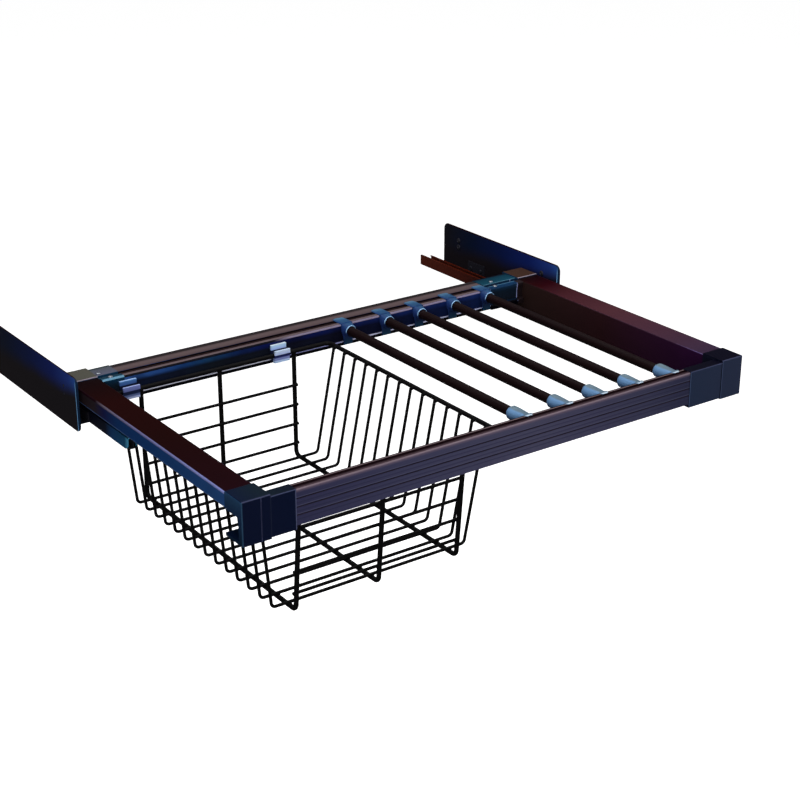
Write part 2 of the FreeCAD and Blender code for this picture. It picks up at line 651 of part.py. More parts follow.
def clip(x, face_y, back_y, way, wire_y):
    """A clip whose plate stands out to face_y and reaches back to the rail at back_y.

    way points from the rail into the frame. Its trough holds the basket's wire from below and
    from the front, and is open above, so that the basket lifts out.
    """
    front_y = wire_y + way * (THICK_R + CLIP_GAP + CLIP_T)

    def part(y_from, y_to, z0, z1):
        return block(x - CLIP_W / 2, x + CLIP_W / 2, min(y_from, y_to), max(y_from, y_to), z0, z1)

    shape = part(back_y, face_y + way * CLIP_T, ledge_top, -CLIP_TOP_Z)
    return shape.fuse([
        part(face_y, front_y, ledge_top - CLIP_LEDGE_T, ledge_top),
        part(front_y - way * CLIP_T, front_y, ledge_top, -CLIP_NOSE_Z),
        part(front_y - way * CLIP_T, front_y + way * CLIP_NOSE_OUT,
             -CLIP_NOSE_Z - CLIP_NOSE_H, -CLIP_NOSE_Z),
    ]).removeSplitter()


first_clip = runner_x[0] - THICK_R - CLIP_GAP - CLIP_W / 2
last_clip = right_top - CLIP_LAST
front_first_clip = runner_x[0] + THICK_R + CLIP_GAP + CLIP_W / 2
on_sleeve = first_clip - CLIP_W / 2 < CORNER_W + SLEEVE_RL
clips = []
for x, skin in ((first_clip, REAR_SLEEVE_WALL if on_sleeve else 0.0), (last_clip, 0.0)):
    clips.append(clip(x, rear_y0 - skin - RIDE_GAP, rear_face_y - skin - RIDE_GAP, -1, basket_y1))
add("clips_rear", *clips)
add("clips_front", *[clip(x, front_y1 + RIDE_GAP, front_y1 + RIDE_GAP, 1, basket_y0)
                     for x in (front_first_clip, last_clip)])

# ---- trouser bars, each with a rear holder and a front cap
bar_z = -BAR_Z
holder_y0 = rear_y0 - HOLDER_L
hook_low = rear_top + RIDE_GAP
tube_y1 = rear_y0 - HOLDER_BACK
cap_y0 = front_y1 + RIDE_GAP
cap_y1 = cap_y0 + CAP_L
tube_y0 = cap_y0 + CAP_WALL
tube_fit = BAR_R + BAR_FIT
first_bar = right_top + THICK_R + BAR_FIRST_GAP
last_bar = FRAME_W - CORNER_W - SLEEVE_RR - BAR_LAST_GAP
for number, share in enumerate(BAR_SPREAD, 1):
    x = first_bar + (last_bar - first_bar) * share
    tube = rod(BAR_R, V(x, tube_y0, bar_z), V(x, tube_y1, bar_z))
    tube = tube.cut(rod(BAR_R - BAR_WALL, V(x, tube_y0 - 1, bar_z), V(x, tube_y1 + 1, bar_z)))
    add("bar_tube_%d" % number, tube)

    ring = rod(HOLDER_R, V(x, holder_y0, bar_z), V(x, rear_y0 - RIDE_GAP, bar_z))
    foot = block(x - HOLDER_R * 0.75, x + HOLDER_R * 0.75, rear_y0 - RIDE_GAP - HOLDER_FOOT_T,
                 rear_y0 - RIDE_GAP, rear_low + 1.0, bar_z)
    arch = rod(HOLDER_R, V(x, holder_y0 + 1, bar_z), V(x, rear_groove_y1 + HOLDER_HOOK_OVER, bar_z))
    arch = arch.common(block(x - HOLDER_R, x + HOLDER_R, holder_y0, FRAME_D, hook_low, 20))
    tooth = block(x - HOLDER_R * 0.6, x + HOLDER_R * 0.6, rear_groove_y1 - RIDE_GAP - HOLDER_TOOTH_L,
                  rear_groove_y1 - RIDE_GAP, rear_top - TOOTH_DEEP, hook_low + 0.5)
    neck = rod(HOLDER_R, V(x, rear_y0 - RIDE_GAP - 1, bar_z), V(x, rear_face_y - RIDE_GAP, bar_z))
    neck = neck.common(block(x - HOLDER_R, x + HOLDER_R, holder_y0, rear_face_y - RIDE_GAP,
                             rear_low + LIP_T * 1.6 + 2.0, 20))
    holder = ring.fuse([foot, arch, tooth, neck]).removeSplitter()
    holder = holder.cut(rod(tube_fit, V(x, holder_y0 - 1, bar_z), V(x, tube_y1 + 0.5, bar_z)))
    add("bar_holder_%d" % number, holder)

    body = Part.makeCone(CAP_R - CAP_TAPER, CAP_R, CAP_L, V(x, cap_y0, bar_z), V(0, 1, 0))
    hook = block(x - CAP_R, x + CAP_R, groove_y0 + RIDE_GAP, cap_y0 + 6.0,
                 front_top + RIDE_GAP, front_top + RIDE_GAP + CAP_HOOK_T)
    hook_tooth = block(x - CAP_R * 0.6, x + CAP_R * 0.6, groove_y0 + RIDE_GAP,
                       groove_y0 + RIDE_GAP + CAP_TOOTH_L, front_top - TOOTH_DEEP,
                       front_top + RIDE_GAP + 0.5)
    cap = body.fuse([hook, hook_tooth]).removeSplitter()
    cap = cap.cut(rod(tube_fit, V(x, tube_y0, bar_z), V(x, cap_y1 + 1, bar_z)))
    add("bar_cap_%d" % number, cap)

# ---- export
os.makedirs("parts", exist_ok=True)
for name, shape in nodes.items():
    placed = shape.copy()
    placed.translate(SHIFT)
    placed.exportStep("parts/%s.step" % name)
    print(name, len(placed.Solids), placed.isValid(), round(placed.Volume, 1))
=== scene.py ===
# %% [markdown]
# # A pull out trouser rack
#
# The rack is a low frame that slides out of a wardrobe on two telescopic runners. A wire basket hangs in
# its left half and five round bars cross its right half. Every bracket, rail, wire and screw already exists
# as an exact solid; this lesson gives each of them its finish, adds the small things that a solid model
# leaves out, such as weld beads and the moulded ends of the bars, and sets up the light and the camera. We
# load the solids first.

# %% Load the frame
import json
from functools import partial
from math import cos, pi, radians, sin
from random import Random

import bmesh
import bpy
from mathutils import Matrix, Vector


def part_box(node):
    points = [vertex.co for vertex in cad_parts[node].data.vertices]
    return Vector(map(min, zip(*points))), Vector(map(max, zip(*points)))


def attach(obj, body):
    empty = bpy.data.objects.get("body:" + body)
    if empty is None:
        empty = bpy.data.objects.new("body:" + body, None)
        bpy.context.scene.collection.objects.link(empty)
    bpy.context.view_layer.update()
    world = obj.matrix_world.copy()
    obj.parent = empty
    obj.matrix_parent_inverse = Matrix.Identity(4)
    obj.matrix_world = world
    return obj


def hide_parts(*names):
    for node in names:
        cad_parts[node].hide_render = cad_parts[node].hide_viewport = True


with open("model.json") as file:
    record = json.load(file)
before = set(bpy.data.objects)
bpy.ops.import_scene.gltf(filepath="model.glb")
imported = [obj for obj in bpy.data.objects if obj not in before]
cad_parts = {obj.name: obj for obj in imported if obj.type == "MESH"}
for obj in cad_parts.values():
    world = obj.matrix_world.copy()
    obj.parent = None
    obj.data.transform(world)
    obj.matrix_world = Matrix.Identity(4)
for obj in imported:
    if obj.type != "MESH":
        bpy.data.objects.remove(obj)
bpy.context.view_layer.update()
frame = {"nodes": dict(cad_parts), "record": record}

nodes = frame["nodes"]

# %% [markdown]
# ## Colours and shader arithmetic
#
# A finish on this rack is mostly one dark lacquer whose tone drifts along the piece, and much of that drift
# is painted light and shade. The drift is easiest to read as a formula, such as `top * 0.5 + grain * 0.1`,
# so a small class wraps a shader socket and lets Python's own operators add the Math nodes.

# %% Socket arithmetic
def tone(red, green, blue):
    """A colour given in screen values (0 to 255), turned into the linear values that light uses."""
    return tuple((c / 255 / 12.92 if c <= 10 else ((c / 255 + 0.055) / 1.055) ** 2.4)
                 for c in (red, green, blue)) + (1.0,)


class Number:
    """A number that varies over a surface: one shader socket that takes part in sums."""

    def __init__(self, tree, socket):
        self.tree, self.socket = tree, socket

    def math(self, operation, *values):
        node = self.tree.nodes.new("ShaderNodeMath")
        node.operation = operation
        for slot, value in zip(node.inputs, values):
            if isinstance(value, Number):
                self.tree.links.new(value.socket, slot)
            else:
                slot.default_value = value
        return Number(self.tree, node.outputs[0])

    def __add__(self, other):
        return self.math("ADD", self, other)

    def __radd__(self, other):
        return self.math("ADD", other, self)

    def __sub__(self, other):
        return self.math("SUBTRACT", self, other)

    def __rsub__(self, other):
        return self.math("SUBTRACT", other, self)

    def __mul__(self, other):
        return self.math("MULTIPLY", self, other)

    def __rmul__(self, other):
        return self.math("MULTIPLY", other, self)

    def __abs__(self):
        return self.math("ABSOLUTE", self)

    def bigger(self, other):
        return self.math("MAXIMUM", self, other)


print("a mid screen grey is", round(tone(128, 128, 128)[0], 3), "in linear light")

# %% [markdown]
# ## One bench for every finish
#
# Each finish is a material with a single Principled shader. The `Finish` class below opens
# it and offers the few things that all finishes need: a place on the piece in metres, the
# way a face points, soft steps between two places, grain, and mixing of colours. A place in
# metres is the piece's own object coordinate, so a stripe stays on its rail however the
# rack is posed. Many small parts need no more than fine grain between two tones, and one
# function, `grained`, makes all of those.

# %% The finish bench
class Finish:
    """One material with its Principled shader, and what is needed to fill it in."""

    bump_strength = 0.6

    def __init__(self, name, specular, metallic=0.0):
        self.material = bpy.data.materials.new(name)
        self.material.use_nodes = True
        self.tree = self.material.node_tree
        self.shader = self.tree.nodes["Principled BSDF"]
        self.shader.inputs["Specular IOR Level"].default_value = specular
        self.shader.inputs["Metallic"].default_value = metallic
        self.place = self.node("ShaderNodeTexCoord").outputs["Object"]
        parts = self.node("ShaderNodeSeparateXYZ", sockets={"Vector": self.place}).outputs
        self.x, self.y, self.z = (Number(self.tree, parts[axis]) for axis in "XYZ")
        facing = self.node("ShaderNodeNewGeometry").outputs["Normal"]
        parts = self.node("ShaderNodeSeparateXYZ", sockets={"Vector": facing}).outputs
        self.to_right, self.to_back, self.to_top = (Number(self.tree, parts[axis]) for axis in "XYZ")

    def feed(self, slot, value):
        """Put a value into a node's input, or link it there if it is a socket."""
        if isinstance(value, Number):
            value = value.socket
        if isinstance(value, bpy.types.NodeSocket):
            self.tree.links.new(value, slot)
        else:
            slot.default_value = value

    def node(self, kind, settings=None, sockets=None):
        """Add one node: settings come first, then each named socket gets a value or a link."""
        node = self.tree.nodes.new(kind)
        for key, value in (settings or {}).items():
            if key == "stops":
                self.set_stops(node.color_ramp, value)
            else:
                setattr(node, key, value)
        for key, value in (sockets or {}).items():
            self.feed(node.inputs[key], value)
        return node

    def set_stops(self, ramp, stops):
        while len(ramp.elements) < len(stops):
            ramp.elements.new(1.0)
        for element, (position, colour) in zip(ramp.elements, stops):
            element.position, element.color = position, colour

    def step(self, value, low, high):
        """0 below low, 1 above high, a smooth slope between; works downhill too."""
        node = self.node("ShaderNodeMapRange", {"interpolation_type": "SMOOTHSTEP"}, {
            "Value": value, "From Min": min(low, high), "From Max": max(low, high),
            "To Min": 0.0 if low < high else 1.0, "To Max": 1.0 if low < high else 0.0})
        return Number(self.tree, node.outputs["Result"])

    def band(self, value, middle, half, soft):
        """1 inside a stripe round the middle, fading out over soft on both sides."""
        return self.step(abs(value - middle), half + soft, half)

    def facing_up(self, low=0.5, high=0.8):
        """1 on faces that look up; low and high say how steep a slope may be."""
        return self.step(self.to_top, low, high)

    def rounded_edge(self, one_way, other_way):
        """1 where a rounded edge turns from facing one way to facing the other."""
        return self.step(one_way * other_way, 0.15, 0.4)

    def mix(self, share, first, second):
        """Blend two colours; share 0 keeps the first."""
        node = self.node("ShaderNodeMix", {"data_type": "RGBA"})
        for key, kind, value in (("Factor", "VALUE", share), ("A", "RGBA", first), ("B", "RGBA", second)):
            self.feed(next(s for s in node.inputs if (s.name, s.type) == (key, kind)), value)
        return next(s for s in node.outputs if s.type == "RGBA")

    def grain(self, per_metre, detail=2.0, stretch=(1.0, 1.0, 1.0)):
        """Noise with about that many spots a metre; stretch makes it long and thin."""
        scaled = self.node("ShaderNodeMapping", sockets={"Vector": self.place, "Scale": stretch})
        noise = self.node("ShaderNodeTexNoise", sockets={
            "Vector": scaled.outputs["Vector"], "Scale": per_metre, "Detail": detail})
        return Number(self.tree, noise.outputs["Fac"])

    def along(self, value, *stops):
        """Colours placed along a value; each stop is a place and its colour, lowest place first."""
        low, high = stops[0][0], stops[-1][0]
        share = self.node("ShaderNodeMapRange", {}, {
            "Value": value, "From Min": low, "From Max": high}).outputs["Result"]
        shares = [((place - low) / (high - low), colour) for place, colour in stops]
        return self.node("ShaderNodeValToRGB", {"stops": shares}, {"Fac": share}).outputs["Color"]

    def layered(self, colour, *layers):
        """Lay colours over a base one by one; each layer is its mask and its colour."""
        for mask, over in layers:
            colour = self.mix(mask, colour, over)
        return colour

    def finish(self, colour, roughness, bump=None, depth=0.0002):
        """Feed the shader: colour and roughness, and a bump of some depth in metres."""
        self.feed(self.shader.inputs["Base Color"], colour)
        self.feed(self.shader.inputs["Roughness"], roughness)
        if bump is not None:
            relief = self.node("ShaderNodeBump", {}, {
                "Strength": self.bump_strength, "Distance": depth, "Height": bump})
            self.feed(self.shader.inputs["Normal"], relief.outputs["Normal"])
        return self.material


# %% Plain finishes, and dressing solids
def grained(name, dark, light, specular, roughness, roughening=0.2, metallic=0.0,
            spots=500.0, detail=3.0, stretch=(1.0, 1.0, 1.0), depth=0.00005):
    """A plain finish: fine grain runs between two tones, and roughens and dents the surface."""
    plain = Finish(name, specular, metallic)
    fine = plain.grain(spots, detail, stretch)
    colour = plain.mix(fine, tone(*dark), tone(*light))
    return plain.finish(colour, roughness + fine * roughening, fine, depth)


def dress(material, *names):
    """Give a finish to solids by name."""
    for name in names:
        slots = nodes[name].data.materials
        slots.clear()
        slots.append(material)
    print(material.name, "on", ", ".join(names))

# %% [markdown]
# ## Camera
#
# A low, wide rack shows most from a little to the left and above, with a long lens so that
# the near corner doesn't swell. We choose the point to look at, the two angles and the
# distance, and work out the rest, because those four are easy to reason about. A camera that
# isn't turned looks straight down, so it is tilted up by what the elevation leaves of 90
# degrees.

# %% Camera
aim = Vector((-0.4258, -0.3351, -0.0170))
distance = 2.05
azimuth, elevation = radians(35.405), radians(22.526)
backwards = Vector((-sin(azimuth) * cos(elevation), -cos(azimuth) * cos(elevation), sin(elevation)))
lens = bpy.data.cameras.new("studio_camera")
lens.lens = 74.35
camera = bpy.data.objects.new("studio_camera", lens)
bpy.context.scene.collection.objects.link(camera)
camera.location = aim + backwards * distance
camera.rotation_euler = (pi / 2 - elevation, 0.0, -azimuth)
bpy.context.scene.camera = camera
print("camera at", [round(v, 3) for v in camera.location], "lens", lens.lens, "mm")

# %% [markdown]
# ## Floor and light
#
# The rack hangs in mid air between two wardrobe sides, so the floor lies well below it and
# reads as an even pale ground. Far away it rises into leaning walls under a ceiling, so a low
# camera sees no horizon. Three large soft panels light the rack: one overhead that gives the
# tops their sheen, one at the front left for the long faces, and a weaker one at the right.
# The world adds a low even fill. The plain Standard view keeps dark lacquer as dark as it is.

# %% Light
def light_panel(name, place, size, watts, tint):
    """A square soft panel that faces the middle of the rack."""
    lamp = bpy.data.lights.new(name, "AREA")
    lamp.shape, lamp.size, lamp.energy, lamp.color = "SQUARE", size, watts, tint
    panel = bpy.data.objects.new(name, lamp)
    bpy.context.scene.collection.objects.link(panel)
    panel.location = aim + Vector(place)
    panel.rotation_euler = (-Vector(place)).to_track_quat("-Z", "Y").to_euler()
    print(name, "at", [round(v, 2) for v in panel.location])


white = (1.0, 1.0, 1.0)
light_panel("panel_overhead", (0.0, 0.1, 2.5), 3.6, 92, white)
light_panel("panel_front_left", (-2.2, -2.6, 1.0), 2.2, 60, white)
light_panel("panel_right", (2.6, -1.4, 1.3), 1.6, 22, white)

world = bpy.data.worlds.new("studio")
bpy.context.scene.world = world
world.use_nodes = True
fill = world.node_tree.nodes["Background"]
fill.inputs["Color"].default_value = (1.0, 1.0, 1.0, 1.0)
fill.inputs["Strength"].default_value = 0.09
bpy.context.scene.view_settings.view_transform = "Standard"

# %% Floor and walls
pale = Finish("studio_floor", 0.1)
pale.shader.inputs["Emission Strength"].default_value = 0.9
pale.shader.inputs["Emission Color"].default_value = (1.0, 1.0, 1.0, 1.0)
pale_finish = pale.finish(pale.mix(pale.grain(3.0) * 0.2, tone(250, 250, 250), tone(236, 236, 238)), 0.9)


def stage_sheet(name, corners, faces):
    """A surface of the studio: the camera sees it, the rack doesn't mirror it."""
    mesh = bpy.data.meshes.new(name)
    mesh.from_pydata(corners, [], faces)
    mesh.materials.append(pale_finish)
    sheet = bpy.data.objects.new(name, mesh)
    bpy.context.scene.collection.objects.link(sheet)
    sheet.visible_diffuse = sheet.visible_glossy = False
    return sheet


floor_depth, floor_half, wall_half, wall_height = -1.25, 16.0, 24.0, 22.0
square = ((-1, -1), (1, -1), (1, 1), (-1, 1))
floor_corners = [(x * floor_half, y * floor_half, floor_depth) for x, y in square]
ceiling_corners = [(x * wall_half, y * wall_half, floor_depth + wall_height) for x, y in square]
stage_sheet("studio_floor", floor_corners, [(0, 1, 2, 3)])
walls = stage_sheet("studio_walls", floor_corners + ceiling_corners,
                    [(i, (i + 1) % 4, (i + 1) % 4 + 4, i + 4) for i in range(4)] + [(4, 5, 6, 7)])
walls.visible_shadow = False  # so that the even fill of the world still reaches the rack
print("floor", -floor_depth, "m below the rack's origin, ceiling at", floor_depth + wall_height, "m")

# %% [markdown]
# ## Places on the frame
#
# The lacquer's tone drifts along each rail, and much of that drift is painted light and shade, so most
# finishes want to know where on the rack a point lies. Millimetres from the frame's left face, from its
# front face and down from its top are the easiest to reason about, because the rails' own dimensions are in
# millimetres.
# Each side of the rack also catches a different amount of light. We hold a colour as it should
# look, take off the glare that lies over it, and divide it by the light that its side gets,
# so the finish lands on the wanted tone.

# %% Places and light levels
frame_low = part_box("corner_front_left")[0]
frame_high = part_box("corner_rear_right")[1]
light_level = {"top": 1.02, "front": 0.60, "left": 0.56}
glare = {"top": 0.006, "front": 0.0008, "left": 0.002}
darkest_paint = 0.0004
SHEEN = 0.06  # how much a dark satin finish mirrors; more would turn its dark tones grey


def seen(side, red, green, blue):
    """The paint that looks like this colour on one side of the rack."""
    return tuple(min(max((c - glare[side]) / light_level[side], darkest_paint), 1.0)
                 for c in tone(red, green, blue)[:3]) + (1.0,)


top_tone, front_tone, left_tone = (partial(seen, side) for side in ("top", "front", "left"))


def places(finish):
    """Millimetres from the frame's left face, from its front face, and down from its top."""
    return ((finish.x - frame_low.x) * 1000, (finish.y - frame_low.y) * 1000,
            (frame_high.z - finish.z) * 1000)


width, length = ((frame_high - frame_low)[axis] * 1000 for axis in (0, 1))
print("frame", round(width), "by", round(length), "mm")

# %% [markdown]
# ## Front corner blocks
#
# Each corner is a moulded plastic block with a sleeve that takes the end of a rail. The front pair is a
# deep navy, with painted light and shade on it: the face grows lighter to the right, the side darkens
# downwards, and faces that look left further in are darker. What makes a dark moulding readable is its
# edges: the rounded ones get a thin painted highlight, and the joint between block and sleeve is a dark
# slit. The block's rounded edges are real, so the way they face finds them; the sleeves' sharp edges have
# no face of their own, so a narrow band of painted highlight at the edge's own place does it, as it does
# along the moulding seam and the sleeves' top edge. Orange peel, which is low, fine noise, goes into the
# bump.

# %% Front corner plastic
block_side, sleeve_left_end, sleeve_right_start = 36.0, 68.0, 654.0
flank_end, flank_blend, moulding_seam = 11.0, 3.0, 24.0
front_plastic = Finish("corner_plastic_front", SHEEN)
x, _, down = places(front_plastic)
to_front, to_left = front_plastic.to_back * -1, front_plastic.to_right * -1
top = front_plastic.facing_up()
facing = front_plastic.step(to_front, 0.6, 0.9)
sideways = front_plastic.step(to_left, 0.5, 0.8)
at_flank = front_plastic.step(x, flank_end + flank_blend, flank_end - flank_blend)
on_sleeve = (front_plastic.step(x, block_side, block_side + 0.2)
             * front_plastic.step(x, width - block_side, width - block_side - 0.2))
# Painted highlights on the upright edges of blocks and sleeves, and one dark slit at the right joint.
upright_lines = (  # place, half width, softness, paint
    (block_side, 0.4, 0.4, front_tone(26, 29, 45)),
    (width - block_side - 0.5, 0.5, 0.4, front_tone(8, 10, 20)),
    (width - block_side + 0.6, 0.3, 0.5, front_tone(58, 68, 96)),
    (sleeve_right_start + 0.4, 0.4, 0.6, front_tone(60, 74, 104)),
    (sleeve_left_end - 0.4, 0.4, 0.6, front_tone(66, 70, 96)))
# The face is painted lighter to the right as painted light, with painted highlights on the moulding seam
# and the sleeves' top edge.
face = front_plastic.along(x, (0, front_tone(11, 16, 35)), (90, front_tone(10, 16, 36)),
                           (640, front_tone(32, 41, 61)), (width, front_tone(36, 42, 62)))
face = front_plastic.layered(
    face, (front_plastic.band(x, moulding_seam, 0.5, 0.4) * facing, front_tone(44, 47, 70)),
    *[(front_plastic.band(x, place, half, soft), paint) for place, half, soft, paint in upright_lines],
    (front_plastic.band(down, 3.0, 0.5, 0.6) * on_sleeve, front_tone(60, 66, 94)))
# The tops drift along the rack and the flank darkens downwards, as painted light and shade.
tops = front_plastic.along(x, (0, top_tone(20, 28, 49)), (30, top_tone(24, 34, 44)),
                           (90, top_tone(14, 20, 34)), (640, top_tone(18, 18, 28)),
                           (width, top_tone(20, 19, 31)))
flank = front_plastic.along(down, (0, left_tone(27, 50, 74)), (16, left_tone(19, 36, 60)),
                            (50, left_tone(10, 24, 40)))
# Faces that look left further in are painted darker as shade, and the last two layers are painted
# highlights on the rounded edges.
colour = front_plastic.layered(
    face, (sideways * at_flank, flank), (sideways * (1 - at_flank), left_tone(15, 16, 27)), (top, tops),
    (front_plastic.rounded_edge(front_plastic.to_top, to_front), top_tone(62, 66, 92)),
    (front_plastic.rounded_edge(to_left, to_front), left_tone(34, 54, 74)))
peel = front_plastic.grain(900.0, 3.0)
dress(front_plastic.finish(colour, 0.38 + peel * 0.15, peel, 0.00008),
      "corner_front_left", "corner_front_right")

# %% [markdown]
# ## Rear corner blocks
#
# The rear blocks are olive brown on top, and their sleeves are blue where they wrap the rear rail. A sleeve
# follows the rail's section, so its top is an outer strip, a groove and an inner strip; each edge of the
# groove gets a painted highlight, and on the right the groove itself gets painted shade. All of these are
# bands at known distances from the frame's front face.

# %% Rear corner plastic
groove_front, groove_back, strip_front = 410.0, 419.5, 403.1
rear_plastic = Finish("corner_plastic_rear", SHEEN)
x, y, down = places(rear_plastic)
top = rear_plastic.facing_up()
on_right = rear_plastic.step(x, width * 0.4, width * 0.5)
block_from_middle = width / 2 - block_side
on_block = rear_plastic.step(abs(x - width / 2), block_from_middle, block_from_middle + 0.3)
# Across the sleeves' tops: painted highlights on the strip and groove edges, and on the right painted shade
# in the groove.
left_strips = rear_plastic.along(
    y, (strip_front - 1, top_tone(112, 160, 188)), (strip_front + 1.4, top_tone(70, 110, 138)),
    (strip_front + 2, top_tone(26, 52, 66)), (groove_front, top_tone(34, 60, 76)),
    (groove_front + 0.4, top_tone(36, 58, 74)), (groove_back - 1, top_tone(52, 68, 84)),
    (groove_back + 1, top_tone(88, 90, 108)), (440, top_tone(78, 82, 90)),
    (444, top_tone(34, 48, 46)))
right_strips = rear_plastic.along(
    y, (strip_front - 1, top_tone(20, 46, 76)), (strip_front + 2, top_tone(24, 54, 88)),
    (groove_front - 1.5, top_tone(22, 50, 76)), (groove_front - 1, top_tone(84, 132, 160)),
    (groove_front, top_tone(60, 96, 130)), (groove_front + 0.4, top_tone(10, 22, 44)),
    (groove_back - 0.6, top_tone(14, 34, 58)), (groove_back, top_tone(92, 140, 160)),
    (groove_back + 1.4, top_tone(26, 66, 84)), (440, top_tone(20, 52, 68)),
    (444, top_tone(10, 20, 30)))
block_tops = rear_plastic.mix(on_right, top_tone(80, 79, 72), top_tone(64, 46, 38))
tops = rear_plastic.mix(on_block, rear_plastic.mix(on_right, left_strips, right_strips), block_tops)
print("rear sleeves: groove from", groove_front, "to", groove_back, "mm behind the frame's front")

# %% Rear corner faces and edges
# The faces are painted bluer and lighter at the top and darker lower down, as painted light and shade.
left_face = rear_plastic.along(down, (2, front_tone(8, 42, 66)), (14, front_tone(20, 30, 40)),
                               (32, front_tone(30, 20, 22)))
right_face = rear_plastic.along(down, (2, front_tone(18, 40, 64)), (9, front_tone(14, 25, 38)),
                                (32, front_tone(19, 22, 30)))
# A painted highlight on the blocks' rounded top edge, painted shade on the right sleeve in front of the
# groove, a painted highlight line along that shade's edge, and a darker foot.
lit_edge = rear_plastic.rounded_edge(rear_plastic.to_top, rear_plastic.to_back * -1)
shade_start, foot_start = width - block_side - 11, 26.0
in_shade = (rear_plastic.step(x, shade_start, shade_start + 0.5) * (1 - on_block)
            * rear_plastic.step(y, groove_front + 0.5, groove_front))
painted_highlight_line = (rear_plastic.band(x, shade_start, 0.5, 0.5) * (1 - top)
              * rear_plastic.step(down, foot_start + 4, foot_start))
colour = rear_plastic.layered(
    rear_plastic.mix(on_right, left_face, right_face), (top, tops),
    (rear_plastic.step(down, foot_start - 1, foot_start + 1), top_tone(12, 18, 24)),
    (in_shade, front_tone(26, 19, 21)), (painted_highlight_line, front_tone(120, 128, 168)),
    (lit_edge * on_block, top_tone(132, 122, 134)))
peel = rear_plastic.grain(900.0, 3.0)
dress(rear_plastic.finish(colour, 0.4 + peel * 0.2, peel, 0.00008), "corner_rear_left", "corner_rear_right")

# %% [markdown]
# ## Front rail
#
# The front rail is an aluminium extrusion lacquered a violet grey, with painted light that leaves its face
# lightest right of the middle and darker towards both ends. Three fine reeds run along its face, its top is
# a very dark wine, and its rounded front edge carries a pale brown painted highlight, with a fainter one on
# the face just below it. The reeds are cut in the solid already; a dark line of painted shade in each, a
# painted highlight above it and a faint painted shade below it make them read at a distance. Faces behind
# the front face are painted dark wine as shade, and a thin painted highlight runs across the top near its
# rear edge. Drawing a profile leaves long faint streaks, so the grain is stretched along the rail.

# %% Front rail
reeds = (14.9, 25.1, 34.7)
front_lacquer = Finish("front_rail_lacquer", SHEEN)
x, y, down = places(front_lacquer)
top = front_lacquer.facing_up(0.75, 0.95)
rounding = front_lacquer.facing_up(0.25, 0.55) * front_lacquer.step(y, 5.0, 4.6)
# Painted light: the face is lightest right of the middle and darker towards both ends.
face = front_lacquer.along(x, (80, front_tone(43, 43, 67)), (222, front_tone(54, 54, 77)),
                           (400, front_tone(63, 62, 83)), (490, front_tone(58, 57, 79)),
                           (580, front_tone(52, 52, 73)), (640, front_tone(42, 43, 64)))
reed_lines = (  # offset from the reed, half width, strength, paint
    (-1.2, 0.4, 0.5, front_tone(76, 76, 98)),
    (5.2, 0.5, 0.45, front_tone(34, 34, 54)),
    (0.0, 0.6, 1.0, front_tone(21, 20, 36)))
# A faint painted highlight below the rounded edge; at each reed a painted highlight above, painted shade in
# it and a faint one below; faces behind the front face painted dark wine as shade.
face = front_lacquer.layered(
    face, (front_lacquer.step(down, 9.0, 5.5) * 0.6, front_tone(92, 78, 90)),
    *[(front_lacquer.band(down, reed + offset, half, 0.5) * strength, paint)
      for offset, half, strength, paint in reed_lines for reed in reeds],
    (front_lacquer.step(y, 4.2, 5.0), front_tone(24, 12, 16)))
# Across the top: a painted highlight at the front, and a thin painted highlight line near the rear edge.
tops = front_lacquer.along(y, (4.6, top_tone(64, 50, 56)), (5.6, top_tone(36, 22, 28)),
                           (11.0, top_tone(28, 15, 19)), (12.0, top_tone(40, 28, 32)),
                           (12.6, top_tone(122, 106, 110)), (13.4, top_tone(122, 106, 110)),
                           (14.0, top_tone(26, 14, 18)), (15.4, top_tone(20, 9, 12)))
streak = front_lacquer.grain(220.0, 3.0, (0.03, 1.0, 1.0))
# Painted highlight on the rounded front edge, streaked like the grain.
painted_edge_highlight = front_lacquer.mix(streak, top_tone(108, 94, 102), top_tone(134, 118, 128))
colour = front_lacquer.layered(face, (rounding, painted_edge_highlight), (top, tops),
                               ((streak - 0.5) * 0.25, front_tone(34, 32, 50)))
dress(front_lacquer.finish(colour, 0.35 + streak * 0.2, streak, 0.00005), "front_rail")

# %% Groove strips
dress(grained("groove_strip", (20, 9, 11), (38, 22, 24), SHEEN, 0.6, spots=600.0, depth=0.0002),
      "front_groove_strip", "rear_groove_strip")

# %% [markdown]
# ## Rear rail
#
# The rear rail is a deeper extrusion. On top lie two pinkish grey strips with a black groove between them,
# whose walls are painted black as shade. Its inner face leans out at the top, where a blue painted
# reflection lies on it, then drops dark to a sloping lip with a bright painted reflection, and the lip's
# front edge below it is painted black as shade. The solid has each of these faces, so distances down from
# the top are all the finish needs.

# %% Rear rail
face_kink, lip_start, lip_end, groove_depth = 14.9, 26.2, 27.8, 2.5
rear_lacquer = Finish("rear_rail_lacquer", SHEEN)
x, y, down = places(rear_lacquer)
streak = rear_lacquer.grain(220.0, 3.0, (0.03, 1.0, 1.0))
strips = rear_lacquer.along(
    y, (strip_front + 0.4, top_tone(30, 20, 26)), (strip_front + 1.0, top_tone(112, 98, 102)),
    (groove_front - 0.8, top_tone(98, 84, 86)), (groove_front - 0.2, top_tone(38, 18, 22)),
    (groove_back + 0.4, top_tone(38, 18, 22)), (groove_back + 1.6, top_tone(82, 69, 71)),
    (430, top_tone(97, 82, 83)), (435, top_tone(88, 75, 76)), (436.5, top_tone(14, 6, 8)),
    (445, top_tone(12, 5, 7)))
strips = rear_lacquer.mix(streak * 0.5, strips, top_tone(84, 72, 76))
